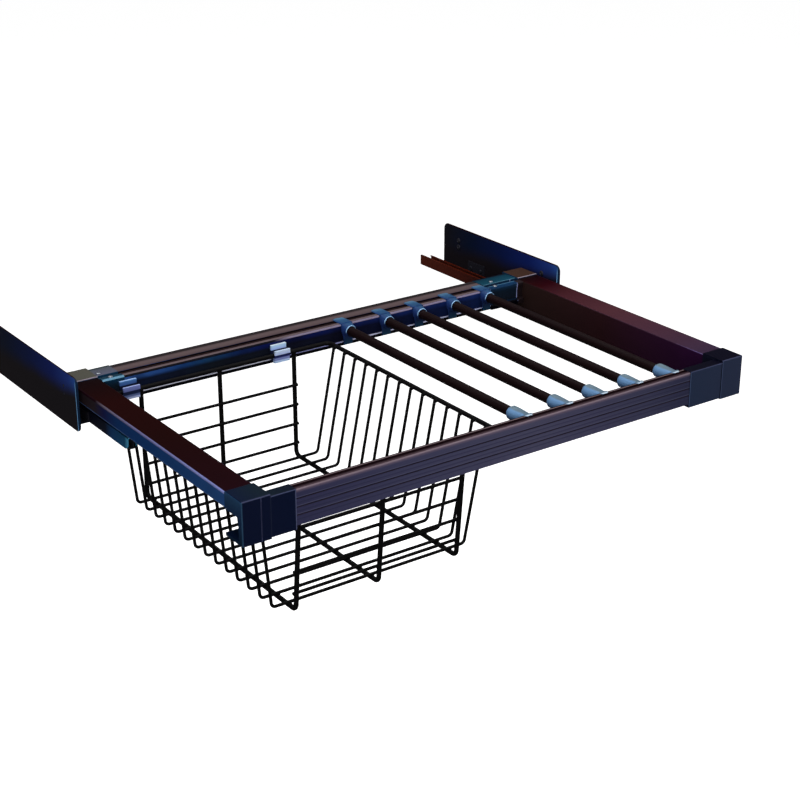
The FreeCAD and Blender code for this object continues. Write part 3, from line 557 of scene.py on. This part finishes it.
# A blue painted reflection on the upper inner face, strongest at the left end; the lower face stays dark.
upper = rear_lacquer.along(
    x, (60, front_tone(44, 78, 134)), (110, front_tone(36, 68, 126)), (150, front_tone(22, 50, 96)),
    (190, front_tone(22, 52, 84)), (230, front_tone(18, 36, 80)), (270, front_tone(13, 20, 68)),
    (300, front_tone(12, 16, 54)), (360, front_tone(13, 21, 66)), (640, front_tone(20, 36, 86)))
lower = rear_lacquer.along(x, (60, front_tone(14, 22, 44)), (200, front_tone(16, 20, 26)),
                           (400, front_tone(13, 14, 30)), (640, front_tone(16, 28, 66)))
face = rear_lacquer.mix(rear_lacquer.step(down, face_kink - 7.5, face_kink - 1), upper, lower)
clouds = rear_lacquer.step(rear_lacquer.grain(26.0, 2.0), 0.45, 0.7)
face = rear_lacquer.mix(clouds * 0.5, face, front_tone(12, 12, 24))
print("inner face kinks at", face_kink, "mm, lip from", lip_start, "to", lip_end, "mm below the top")

# %% Rear rail edges
# Painted reflection along the lip, dimmer in the middle of the rail; the strip's front edge gets a painted
# highlight from the middle rightwards and is dark to the left.
lip_light = rear_lacquer.along(
    x, (60, front_tone(184, 186, 236)), (270, front_tone(184, 186, 236)), (300, front_tone(108, 112, 156)),
    (380, front_tone(116, 120, 166)), (410, front_tone(176, 178, 232)), (640, front_tone(164, 170, 226)))
edge_light = rear_lacquer.along(x, (60, top_tone(16, 12, 24)), (285, top_tone(18, 14, 28)),
                                (310, top_tone(124, 114, 136)), (640, top_tone(122, 114, 142)))
top = rear_lacquer.facing_up(0.8, 0.95)
at_edge = rear_lacquer.step(y, strip_front + 0.1, strip_front) * rear_lacquer.step(down, 4.9, 4.6)
groove_middle, groove_half = (groove_front + groove_back) / 2, (groove_back - groove_front) / 2
in_groove = (rear_lacquer.band(y, groove_middle, groove_half + 0.1, 0.2)
             * rear_lacquer.step(down, groove_depth, groove_depth + 0.3))
# The lip's front face and the groove's walls are painted black as shade, and faces that look back are dark.
colour = rear_lacquer.layered(
    face, (rear_lacquer.step(down, lip_start + 0.5, lip_start + 0.9), lip_light),
    (rear_lacquer.step(down, lip_end, lip_end + 0.3), front_tone(6, 6, 10)), (top, strips),
    (at_edge, edge_light), (in_groove, top_tone(14, 9, 11)),
    (rear_lacquer.step(rear_lacquer.to_back, 0.5, 0.8), top_tone(20, 14, 17)))
dress(rear_lacquer.finish(colour, 0.35 + streak * 0.2, streak, 0.00005), "rear_rail")

# %% [markdown]
# ## Side rails
#
# The side rails are folded steel: a flat top, a skirt on the outside and a wall on the inside. The left one
# runs from near black at the back to wine at the front, and its skirt carries a blue painted reflection
# that fades dark at the back; the right one is browner and lighter on top. These drifts are painted light
# and shade. Where the fold turns lies a painted highlight, lavender on the left, and the skirt's hem has a
# thin painted highlight too.

# %% Side rails
side_lacquer = Finish("side_rail_lacquer", SHEEN / 2)
x, y, down = places(side_lacquer)
right_side = side_lacquer.step(x, width * 0.4, width * 0.6)
# Tones along each rail drift with painted light and shade; the left skirt's blue, fading dark at the back,
# is a painted reflection.
left_top = side_lacquer.along(y, (36, top_tone(35, 10, 23)), (200, top_tone(34, 7, 11)),
                              (330, top_tone(37, 11, 12)), (414, top_tone(26, 18, 20)))
right_top = side_lacquer.along(y, (36, top_tone(60, 46, 66)), (120, top_tone(70, 46, 60)),
                               (230, top_tone(76, 45, 52)), (320, top_tone(66, 34, 40)),
                               (370, top_tone(45, 16, 20)), (414, top_tone(27, 16, 17)))
skirt = side_lacquer.along(y, (36, left_tone(30, 58, 100)), (200, left_tone(18, 46, 88)),
                           (290, left_tone(15, 38, 76)), (325, left_tone(20, 22, 56)),
                           (350, left_tone(32, 26, 30)), (414, left_tone(30, 22, 22)))
wall = side_lacquer.along(y, (36, left_tone(33, 14, 38)), (230, left_tone(35, 19, 22)),
                          (414, left_tone(35, 25, 23)))
# The fold lines are painted highlights, lavender on the left and fading towards the back.
left_fold = side_lacquer.along(y, (36, top_tone(122, 130, 186)), (230, top_tone(104, 104, 146)),
                               (325, top_tone(92, 84, 98)), (348, top_tone(34, 22, 26)))
right_fold = side_lacquer.along(y, (36, top_tone(104, 92, 140)), (90, top_tone(74, 54, 70)),
                                (414, top_tone(44, 22, 25)))
print("side rails run from", block_side, "to", round(length - block_side), "mm behind the front")

# %% Side rail edges
hem_line, fold_end = 18.8, 3.6
top = side_lacquer.facing_up(0.75, 0.95)
outwards = side_lacquer.step(side_lacquer.to_right * (right_side * 2 - 1), 0.2, 0.6)
from_outside = width / 2 - abs(x - width / 2)
outer_edge = side_lacquer.step(from_outside, 2.4, 1.4)
# The painted fold highlight covers the fold's turn and the outer top edge; the skirt's hem gets a thin
# painted highlight.
turning = side_lacquer.facing_up(0.3, 0.6).bigger(
    outer_edge * side_lacquer.step(down, fold_end + 0.8, fold_end))
hem = side_lacquer.band(down, hem_line, 0.5, 0.4) * outwards
colour = side_lacquer.layered(
    wall, (outwards, skirt), (hem * 0.6, left_tone(62, 84, 124)),
    (turning, side_lacquer.mix(right_side, left_fold, right_fold)),
    (top * (1 - outer_edge), side_lacquer.mix(right_side, left_top, right_top)),
    ((side_lacquer.grain(14.0) - 0.5) * 0.5, top_tone(16, 8, 12)))
speck = side_lacquer.grain(700.0, 3.0)
dress(side_lacquer.finish(colour, 0.36 + speck * 0.15, speck, 0.00006), "side_rail_left", "side_rail_right")

# %% [markdown]
# ## Channels and wall plates
#
# The fixed half of each slide is a folded channel, rust brown on the right and deep blue on the left, on
# brackets that are screwed to a navy plate. The left channel has a painted highlight at its front end and
# painted shade further back under the skirt. The plate grows bluer and lighter towards its upper front end
# as painted light, and greyer lower down and further back; a thin painted highlight runs just inside the
# dark rim at the front end, and its top edge is dark wine. The plate's long drift is one colour ramp along
# it.

# %% Channels
channel_paint = Finish("channel_lacquer", SHEEN)
x, y, _ = places(channel_paint)
right_side = channel_paint.step(x, width * 0.4, width * 0.6)
speck = channel_paint.grain(500.0, 3.0)
# A painted highlight at the left channel's front end, and painted shade further back under the skirt.
left_blue = channel_paint.along(y, (288, left_tone(64, 128, 160)), (296, left_tone(20, 62, 92)),
                                (330, left_tone(19, 50, 88)), (348, left_tone(16, 20, 32)),
                                (420, left_tone(14, 12, 16)))
rust = channel_paint.along(y, (480, left_tone(26, 18, 18)), (560, left_tone(57, 23, 18)),
                           (672, left_tone(67, 29, 21)))
rust = channel_paint.mix(channel_paint.facing_up(), rust, top_tone(70, 28, 20))
colour = channel_paint.mix(right_side, left_blue, rust)
dress(channel_paint.finish(colour, 0.4 + speck * 0.2, speck, 0.00008), "channel_left", "channel_right")

# %% Wall plates and brackets
plate_paint = Finish("plate_lacquer", SHEEN)
low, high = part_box("plate_right")
back_share = (plate_paint.y - low.y) * (1 / (high.y - low.y))
up_share = (plate_paint.z - low.z) * (1 / (high.z - low.z))
from_end = (plate_paint.y - low.y) * 1000
# Painted light: the plate is bluer and lighter towards its upper front end, and dusk paints it greyer lower
# down and further back.
drift = plate_paint.along(back_share, (0, left_tone(34, 66, 126)), (0.08, left_tone(26, 44, 102)),
                          (0.25, left_tone(15, 26, 76)), (0.5, left_tone(12, 20, 54)),
                          (0.75, left_tone(12, 18, 36)), (1, left_tone(20, 19, 22)))
dusk = plate_paint.step(up_share + back_share * 0.35 + plate_paint.grain(9.0) * 0.3, 1.12, 0.75)
rim = plate_paint.step(abs(plate_paint.to_right), 0.97, 0.93)
# A thin painted highlight runs just inside the rim at the front end.
colour = plate_paint.layered(
    drift, (dusk, left_tone(22, 19, 22)), (plate_paint.step(from_end, 3.6, 2.6), left_tone(14, 32, 56)),
    (rim, top_tone(34, 13, 16)),
    (rim * plate_paint.step(plate_paint.to_back * -1, 0.2, 0.4), front_tone(12, 26, 44)),
    (plate_paint.band(from_end, 4.0, 0.5, 0.5) * plate_paint.step(up_share, 0.97, 0.85),
     left_tone(96, 142, 184)))
speck = plate_paint.grain(500.0, 3.0)
dress(plate_paint.finish(colour, 0.35 + speck * 0.2, speck, 0.00008), "plate_left", "plate_right")
dress(grained("bracket_lacquer", (22, 22, 30), (40, 38, 46), SHEEN, 0.4, depth=0.00008),
      "brackets_left", "brackets_right")

# %% [markdown]
# ## Slide steel, screws, glides and stops
#
# What moves inside the channels is plain steel with white glides and a rubber stop at the
# end. Rolled steel has fine lines along its run, screws have small bright scratches.

# %% Slide steel, screws, glides and stops
rolled = (1.0, 0.05, 1.0)
dress(grained("slide_steel", (52, 54, 62), (78, 82, 92), 0.5, 0.3, 0.25, metallic=0.9,
              spots=400.0, stretch=rolled, depth=0.00004),
      "runner_left", "runner_right", "carrier_left", "carrier_right")
dress(grained("screw_steel", (150, 158, 170), (206, 212, 222), 0.5, 0.25, metallic=1.0, spots=900.0),
      "carrier_screws", "rail_screws", "sleeve_screws")
dark_screw_finish = grained("dark_screw_steel", (26, 26, 34), (58, 58, 70), 0.3, 0.35, metallic=0.6,
                            spots=900.0)
dress(dark_screw_finish, "bracket_screws")
dress(grained("glide_plastic", (190, 190, 186), (222, 222, 218), 0.4, 0.4, spots=600.0, detail=2.0),
      "glides_lower", "glides_upper")
dress(grained("stop_rubber", (18, 18, 20), (34, 34, 36), 0.2, 0.7, spots=800.0, detail=2.0, depth=0.0001),
      "channel_stops")

# %% [markdown]
# ## Basket wire
#
# The basket is welded from round steel wire and coated with black powder, which melts to a
# slightly uneven satin skin. The coat is nearly black, because thin dark wires against a
# pale ground lose contrast to the light around them.

# %% Basket wire
wire_finish = grained("basket_wire_coat", (8, 7, 8), (17, 16, 17), SHEEN, 0.4, depth=0.0001)
dress(wire_finish, "basket_top_frame", "basket_runners", "basket_ribs", "basket_rear_wires",
      "basket_front_wires")

# %% [markdown]
# ## Building small pieces
#
# The solids stop where a maker's hand starts: weld beads, the screws that go into the
# wardrobe, and the soft shape of the bar ends. Such a piece is drawn as rings of points that
# are skinned one to the next, like ribs under canvas. A ring-by-ring skin can swell, flatten
# or step wherever the real moulding does, which no stretched cylinder can. Every piece gets
# smooth shading with sharp edges kept, and rides on the body that it belongs to.

# %% Skins and pieces
def turns(count):
    """The angles of evenly spaced points once round."""
    return [2 * pi * i / count for i in range(count)]


def skin_over(rings):
    """A closed skin through rings that all have the same number of points."""
    count = len(rings[0])
    corners = [point for ring in rings for point in ring]
    faces = []
    for start in range(0, len(corners) - count, count):
        for i in range(count):
            following = (i + 1) % count
            faces.append((start + i, start + following, start + count + following, start + count + i))
    last = len(corners) - count
    return corners, faces + [tuple(range(count)), tuple(range(last, last + count))]


def make_piece(name, body, material, skins, replaced=()):
    """Join skins into one object, give it its finish, and hang it on its body."""
    work = bmesh.new()
    for corners, faces in skins:
        points = [work.verts.new(corner) for corner in corners]
        for face in faces:
            work.faces.new([points[i] for i in face])
    bmesh.ops.recalc_face_normals(work, faces=work.faces)
    mesh = bpy.data.meshes.new(name)
    work.to_mesh(mesh)
    work.free()
    mesh.shade_smooth()
    mesh.set_sharp_from_angle(angle=radians(38))
    mesh.materials.append(material)
    made = bpy.data.objects.new(name, mesh)
    bpy.context.scene.collection.objects.link(made)
    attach(made, body)
    if replaced:
        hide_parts(*replaced)
    print(name, "rides on", body, "with", len(mesh.polygons), "faces")

# %% [markdown]
# ## Weld beads
#
# Wherever two wires of the basket cross, a small bead of weld bulges out under the coat. We
# measure where the wires run from the solids themselves: a node with many rods falls apart
# into its loose rods, and each rod's box tells its place. The rods are sorted by place, so
# every run meets them in the same order. A bead is a squashed ball of rings with a little
# seeded unevenness, so that no two are quite alike.

# %% Finding the wires
def loose_rods(name):
    """The lowest and highest corner of every separate rod in a node."""
    work = bmesh.new()
    work.from_mesh(nodes[name].data)
    bmesh.ops.remove_doubles(work, verts=work.verts, dist=1e-6)
    waiting, boxes = set(work.verts), []
    while waiting:
        rod, edge_of_rod = set(), [waiting.pop()]
        while edge_of_rod:
            point = edge_of_rod.pop()
            rod.add(point)
            for edge in point.link_edges:
                other = edge.other_vert(point)
                if other in waiting:
                    waiting.remove(other)
                    edge_of_rod.append(other)
        spots = [point.co for point in rod]
        boxes.append((Vector([min(s[k] for s in spots) for k in range(3)]),
                      Vector([max(s[k] for s in spots) for k in range(3)])))
    work.free()
    return sorted(boxes, key=lambda box: [round(v, 4) for corner in box for v in corner])


runners, ribs = loose_rods("basket_runners"), loose_rods("basket_ribs")
rear_wires, front_wires = loose_rods("basket_rear_wires"), loose_rods("basket_front_wires")
print(len(runners), "runners,", len(ribs), "ribs,", len(rear_wires) + len(front_wires), "cross wires")

# %% Weld beads
uneven = Random(11)


def bead(centre, half_sizes, around=10, levels=6):
    """A lumpy ball of weld; half_sizes are its half width, depth and height."""
    rings = []
    for level in range(levels):
        lean = pi * (level + 0.5) / levels - pi / 2
        swell = uneven.uniform(0.92, 1.08)
        rings.append([centre + Vector((half_sizes[0] * cos(lean) * cos(turn) * swell,
                                       half_sizes[1] * cos(lean) * sin(turn) * swell,
                                       half_sizes[2] * sin(lean))) for turn in turns(around)])
    return skin_over(rings)


thick_wire, weld, flat_weld, sink = 0.003, 0.0026, 0.0016, 0.001
collar = (thick_wire + 0.0005, thick_wire + 0.0004, flat_weld)
beads = []
for low, high in runners:
    middle = (low.x + high.x) / 2
    beads += [bead(Vector((middle, (rib[0].y + rib[1].y) / 2, rib[0].z)), (weld, weld, flat_weld))
              for rib in ribs]
    for wires, welded_side in ((rear_wires, 1), (front_wires, 0)):
        beads += [bead(Vector((middle, wire[welded_side].y, (wire[0].z + wire[1].z) / 2)),
                       (weld, flat_weld, weld)) for wire in wires]
    beads += [bead(Vector((middle, y, high.z)), collar) for y in (low.y + thick_wire, high.y - thick_wire)]
for low, high in ribs:
    beads += [bead(Vector((x, (low.y + high.y) / 2, high.z - sink)), (flat_weld, weld, weld))
              for x in (low.x, high.x)]
make_piece("basket_weld_beads", "basket", wire_finish, beads)

# %% [markdown]
# ## Screws into the wardrobe
#
# Four pan head screws hold each plate to its wardrobe side and fill the plate's holes. A
# screw is turned on a lathe, so it is drawn as rings round its own axis: shank, the flat
# under the head, the domed head, and the dished drive in the middle.

# %% Plate screws
shank, head, dome, recess, clearance = 0.0021, 0.0040, 0.0017, 0.0014, 0.00002


def turned(centre, towards, outline, around=20):
    """Rings round an axis that runs along x; outline holds height above the plate and radius."""
    return skin_over([[centre + Vector((towards * height, radius * cos(turn), radius * sin(turn)))
                       for turn in turns(around)] for height, radius in outline])


pan_head = [(clearance, shank), (clearance, head * 0.96), (dome * 0.3, head), (dome * 0.7, head * 0.86),
            (dome, head * 0.5), (dome, recess), (dome * 0.45, recess * 0.5)]
plate_screws = []
for mount in frame["record"]["mounts"]:
    if "spacing_x_mm" not in mount.get("dims", {}):
        continue
    middle, outward = Vector(mount["pos_m"]), mount["axis"][0]
    plate_low, plate_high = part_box("plate_right" if outward > 0 else "plate_left")
    thickness = plate_high.x - plate_low.x
    shaft = [(-thickness + 0.0001, shank * 0.8), (-0.0002, shank)]
    for along in (-0.5, 0.5):
        for up in (-0.5, 0.5):
            seat = middle + Vector((-outward * thickness, along * mount["dims"]["spacing_x_mm"] / 1000,
                                    up * mount["dims"]["spacing_y_mm"] / 1000))
            plate_screws.append(turned(seat, -outward, shaft + pan_head))
make_piece("plate_screws", "wall_sides", dark_screw_finish, plate_screws)

# %% [markdown]
# ## Clips, bars, holders and caps
#
# The basket hangs on pale blue plastic clips. Each clip is read by its steps, painted in light and shade: a
# light plate, a light nose, the shaded wall of the trough below it, and the ledge whose lower edge is
# lightest. The steps lie at known depths, so one ramp down from the frame's top paints them; the clip next
# to the left corner gets a darker ramp of painted shade than the other one. Their tops are painted lighter
# and their undersides dark.

# %% Clips
basket_middle, plate_from_middle = 207.0, 187.0
clip_plastic = Finish("clip_plastic", 0.15)
x, y, down = places(clip_plastic)
on_plate = clip_plastic.step(abs(y - basket_middle), plate_from_middle - 1, plate_from_middle + 1)
second = clip_plastic.step(x, 120, 160)
# Painted light and shade: the clip next to the left corner takes the shaded ramps, the other the lit ones.
shaded = clip_plastic.along(
    down, (13, front_tone(104, 114, 168)), (18.6, front_tone(84, 92, 146)),
    (18.9, front_tone(20, 26, 54)), (23.7, front_tone(26, 34, 66)), (24, front_tone(70, 84, 124)),
    (26.5, front_tone(92, 104, 150)), (27.4, front_tone(150, 160, 212)), (29.9, front_tone(166, 176, 224)))
lit = clip_plastic.along(
    down, (13, front_tone(172, 186, 226)), (18.6, front_tone(148, 162, 208)),
    (18.9, front_tone(20, 24, 58)), (22.6, front_tone(30, 34, 84)), (23.8, front_tone(108, 116, 164)),
    (26.0, front_tone(96, 106, 158)), (26.8, front_tone(150, 168, 216)), (29.9, front_tone(150, 176, 212)))
shaded_plate = clip_plastic.along(down, (7.5, front_tone(96, 140, 186)), (8.6, front_tone(56, 90, 140)),
                                  (12.6, front_tone(48, 76, 128)), (13.6, front_tone(12, 14, 34)))
lit_plate = clip_plastic.along(down, (7.5, front_tone(190, 210, 240)), (8.6, front_tone(152, 180, 216)),
                               (13.6, front_tone(132, 154, 200)), (14.6, front_tone(14, 16, 40)))
peel = clip_plastic.grain(800.0, 3.0)
# Tops painted lighter and undersides dark, as painted light and shade.
colour = clip_plastic.layered(
    clip_plastic.mix(on_plate, clip_plastic.mix(second, shaded, lit),
                     clip_plastic.mix(second, shaded_plate, lit_plate)),
    (clip_plastic.facing_up() * 0.5, top_tone(176, 192, 226)),
    (clip_plastic.step(clip_plastic.to_top, -0.5, -0.8), front_tone(12, 20, 40)),
    ((peel - 0.5) * 0.5, front_tone(70, 90, 140)))
dress(clip_plastic.finish(colour, 0.38 + peel * 0.2, peel, 0.00006), "clips_rear", "clips_front")

# %% Bars
drawn = (1.0, 0.03, 1.0)
bar_finish = grained("bar_tube_lacquer", (16, 6, 8), (28, 15, 17), SHEEN, 0.35, 0.25,
                     spots=400.0, stretch=drawn)
for number in range(1, 6):
    dress(bar_finish, f"bar_tube_{number}")

# %% [markdown]
# ## Bar caps
#
# The front end of every bar sits in a blue cap shaped like a blunt bullet: a rolled rim where
# the tube goes in, a flattened top, sides that draw in towards the rail, and a thin tongue
# that rests on the rail's top. Each ring below is one slice of it: how far it lies from the
# rim, its half width, its half height, and the heights at which its top and bottom are cut
# flat. The tongue's slices are low arches that stand on the rail, each with its distance, its
# half width and its height.

# %% Cap finish
tongue_tip, lid_end = 11.0, 44.0
cap_plastic = Finish("cap_plastic", 0.15)
_, y, _ = places(cap_plastic)
peel = cap_plastic.grain(900.0, 3.0)
# Painted light: the blue is lighter on faces that turn up, and the tops carry a grey painted sheen with a
# painted highlight at the tongue's tip.
body_blue = cap_plastic.mix(cap_plastic.step(cap_plastic.to_top, -0.5, 0.5), front_tone(59, 88, 127),
                            front_tone(82, 114, 149))
painted_lid_sheen = cap_plastic.along(y, (tongue_tip, top_tone(196, 210, 222)), (12.4, top_tone(170, 188, 204)),
                             (13.6, top_tone(86, 106, 122)), (30, top_tone(98, 118, 132)),
                             (lid_end, top_tone(110, 130, 142)))
colour = cap_plastic.layered(body_blue, (cap_plastic.facing_up(0.7, 0.95), painted_lid_sheen),
                             ((peel - 0.5) * 0.4, front_tone(84, 106, 134)))
cap_finish = cap_plastic.finish(colour, 0.38 + peel * 0.2, peel, 0.00006)
print("cap finish from", tongue_tip, "to", lid_end, "mm behind the frame's front")

# %% Bar caps
rim_from_front, rail_top_above_axis, points_around = 0.0426, 7.35, 28
cap_slices = [(-3.4, 7.2, 7.2, 7.0, -8), (-2.9, 8.2, 8.2, 7.9, -9), (-1.8, 9.0, 9.0, 8.5, -9.2),
              (4, 9.3, 9.3, 8.8, -9.2), (12, 8.9, 9.2, 8.8, -9), (18, 8.1, 9.1, 8.7, -8.4),
              (23, 7.4, 9.0, 8.6, -7.6), (26.8, 6.9, 8.9, 8.5, -7)]
tongue_slices = [(27.0, 6.8, 8.45), (29.4, 5.8, 8.3), (31.2, 4.4, 8.1), (31.9, 3.4, 7.8)]


def slice_points(middle, offset, half_width, half_height, lid, foot, fullness=1.0):
    """fullness 1 gives an oval; a smaller value fills its upper shoulders towards a box."""
    points = []
    for turn in turns(points_around):
        power = fullness if sin(turn) > 0 else 1.0
        sideways = abs(cos(turn)) ** power * (1 if cos(turn) > 0 else -1)
        upwards = abs(sin(turn)) ** power * (1 if sin(turn) > 0 else -1)
        points.append(Vector((middle.x + half_width * sideways / 1000, middle.y - offset / 1000,
                              middle.z + max(min(half_height * upwards, lid), foot) / 1000)))
    return points


def tongue_points(middle, offset, half_width, lid, foot, fullness=0.5):
    """fullness 1 gives a round back; a smaller value gives a flatter one with fuller edges."""
    return [Vector((middle.x + half_width * cos(turn) / 1000, middle.y - offset / 1000,
                    middle.z + (foot + (lid - foot) * max(sin(turn), 0.0) ** fullness) / 1000))
            for turn in turns(points_around)]


for number in range(1, 6):
    tube_low, tube_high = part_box(f"bar_tube_{number}")
    rim = Vector(((tube_low.x + tube_high.x) / 2, frame_low.y + rim_from_front,
                  (tube_low.z + tube_high.z) / 2))
    rings = [slice_points(rim, *one) for one in cap_slices]
    rings += [tongue_points(rim, *one, rail_top_above_axis) for one in tongue_slices]
    make_piece(f"bar_cap_skin_{number}", f"bar_{number}", cap_finish, [skin_over(rings)],
               [f"bar_cap_{number}"])

# %% [markdown]
# ## Bar holders
#
# The rear end of every bar lies in a blue saddle: a ring round the tube whose thin front rim carries a
# painted highlight, the brightest line on it, a low arch that runs back over the rail as far as its groove,
# and a foot with two small wings against the rail's inner face. Ring and arch are one skin, drawn with the
# same kinds of slice as the caps; the foot is a second skin pushed into it, and its slices lie flat, each
# with its level and its half width.

# %% Holder finish
mouth_plane = 390.7
holder_plastic = Finish("holder_plastic", 0.12)
_, y, down = places(holder_plastic)
to_front = holder_plastic.to_back * -1
peel = holder_plastic.grain(900.0, 3.0)
# Painted light and shade: the arch lighter towards its ends, the foot lighter near its top, faces that look
# left darker, a painted highlight on the ring's rim, and painted shade on the ring's flat front face round
# the tube.
arch_blue = holder_plastic.along(y, (390, top_tone(52, 88, 128)), (400, top_tone(40, 72, 108)),
                                 (412, top_tone(46, 82, 120)), (424, top_tone(86, 126, 156)))
foot_blue = holder_plastic.along(down, (6, front_tone(34, 55, 104)), (16, front_tone(22, 37, 80)),
                                 (22, front_tone(20, 36, 66)), (30, front_tone(22, 52, 74)))
mouth_face = (holder_plastic.step(to_front, 0.93, 0.98)
              * holder_plastic.step(y, mouth_plane + 0.2, mouth_plane - 0.2))
rim_light = (holder_plastic.step(to_front, 0.25, 0.5) * holder_plastic.step(down, 12.5, 9)
             * holder_plastic.step(y, mouth_plane + 0.5, mouth_plane + 0.1))
colour = holder_plastic.layered(
    foot_blue, (holder_plastic.facing_up(0.1, 0.6), arch_blue),
    (holder_plastic.step(holder_plastic.to_right, -0.04, -0.3) * 0.6, front_tone(18, 34, 78)),
    (rim_light, front_tone(122, 156, 188)), (mouth_face, front_tone(14, 18, 36)),
    ((peel - 0.5) * 0.5, front_tone(18, 32, 70)))
holder_finish = holder_plastic.finish(colour, 0.35 + peel * 0.2, peel, 0.00006)
print("holder finish ready, its mouth faces forward at", mouth_plane, "mm behind the frame's front")

# %% Bar holders
arch_above_axis, arch_fullness = 8.45, 0.8
ring_slices = [(0, 7.7, 7.7, 9, -9), (-0.5, 8.3, 8.3, 9, -9), (-1.2, 8.5, 8.5, 9, -9),
               (-4, 8.6, 8.7, 9.5, -9.5, 0.8), (-7.5, 8.8, 9.2, 9.5, -9.5, 0.55),
               (-11.2, 9.0, 9.4, 9.5, -9.5, 0.4)]
arch_slices = [(-11.2, 9.2, 10.2), (-18, 9.2, 10.1), (-28, 9.0, 9.9), (-33.6, 8.4, 9.5), (-34.4, 7.6, 9.0)]
foot_levels = [(5, 8.4), (1, 9.3), (-4, 9.0), (-9, 7.6), (-14, 7.0), (-19.4, 6.9), (-20.2, 6.2)]
foot_front, foot_back, corner_cut = 6.9, 9.2, 0.5


def foot_points(middle, level, half_width):
    """A flat slice of the foot: a rectangle with its corners cut."""
    corners = []
    for side, offset in ((-1, foot_front), (1, foot_front), (1, foot_back), (-1, foot_back)):
        inward = corner_cut if offset == foot_front else -corner_cut
        both = [(side * half_width, offset + inward), (side * (half_width - corner_cut), offset)]
        corners += both if (side < 0) == (offset == foot_front) else both[::-1]
    return [Vector((middle.x + x / 1000, middle.y + y / 1000, middle.z + level / 1000)) for x, y in corners]


for number in range(1, 6):
    tube_low, tube_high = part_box(f"bar_tube_{number}")
    mouth = Vector(((tube_low.x + tube_high.x) / 2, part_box(f"bar_holder_{number}")[0].y,
                    (tube_low.z + tube_high.z) / 2))
    rings = [slice_points(mouth, *one) for one in ring_slices]
    rings += [tongue_points(mouth, *one, arch_above_axis, arch_fullness) for one in arch_slices]
    foot = skin_over([foot_points(mouth, *one) for one in foot_levels])
    make_piece(f"bar_holder_skin_{number}", f"bar_{number}", holder_finish,
               [skin_over(rings), foot], [f"bar_holder_{number}"])
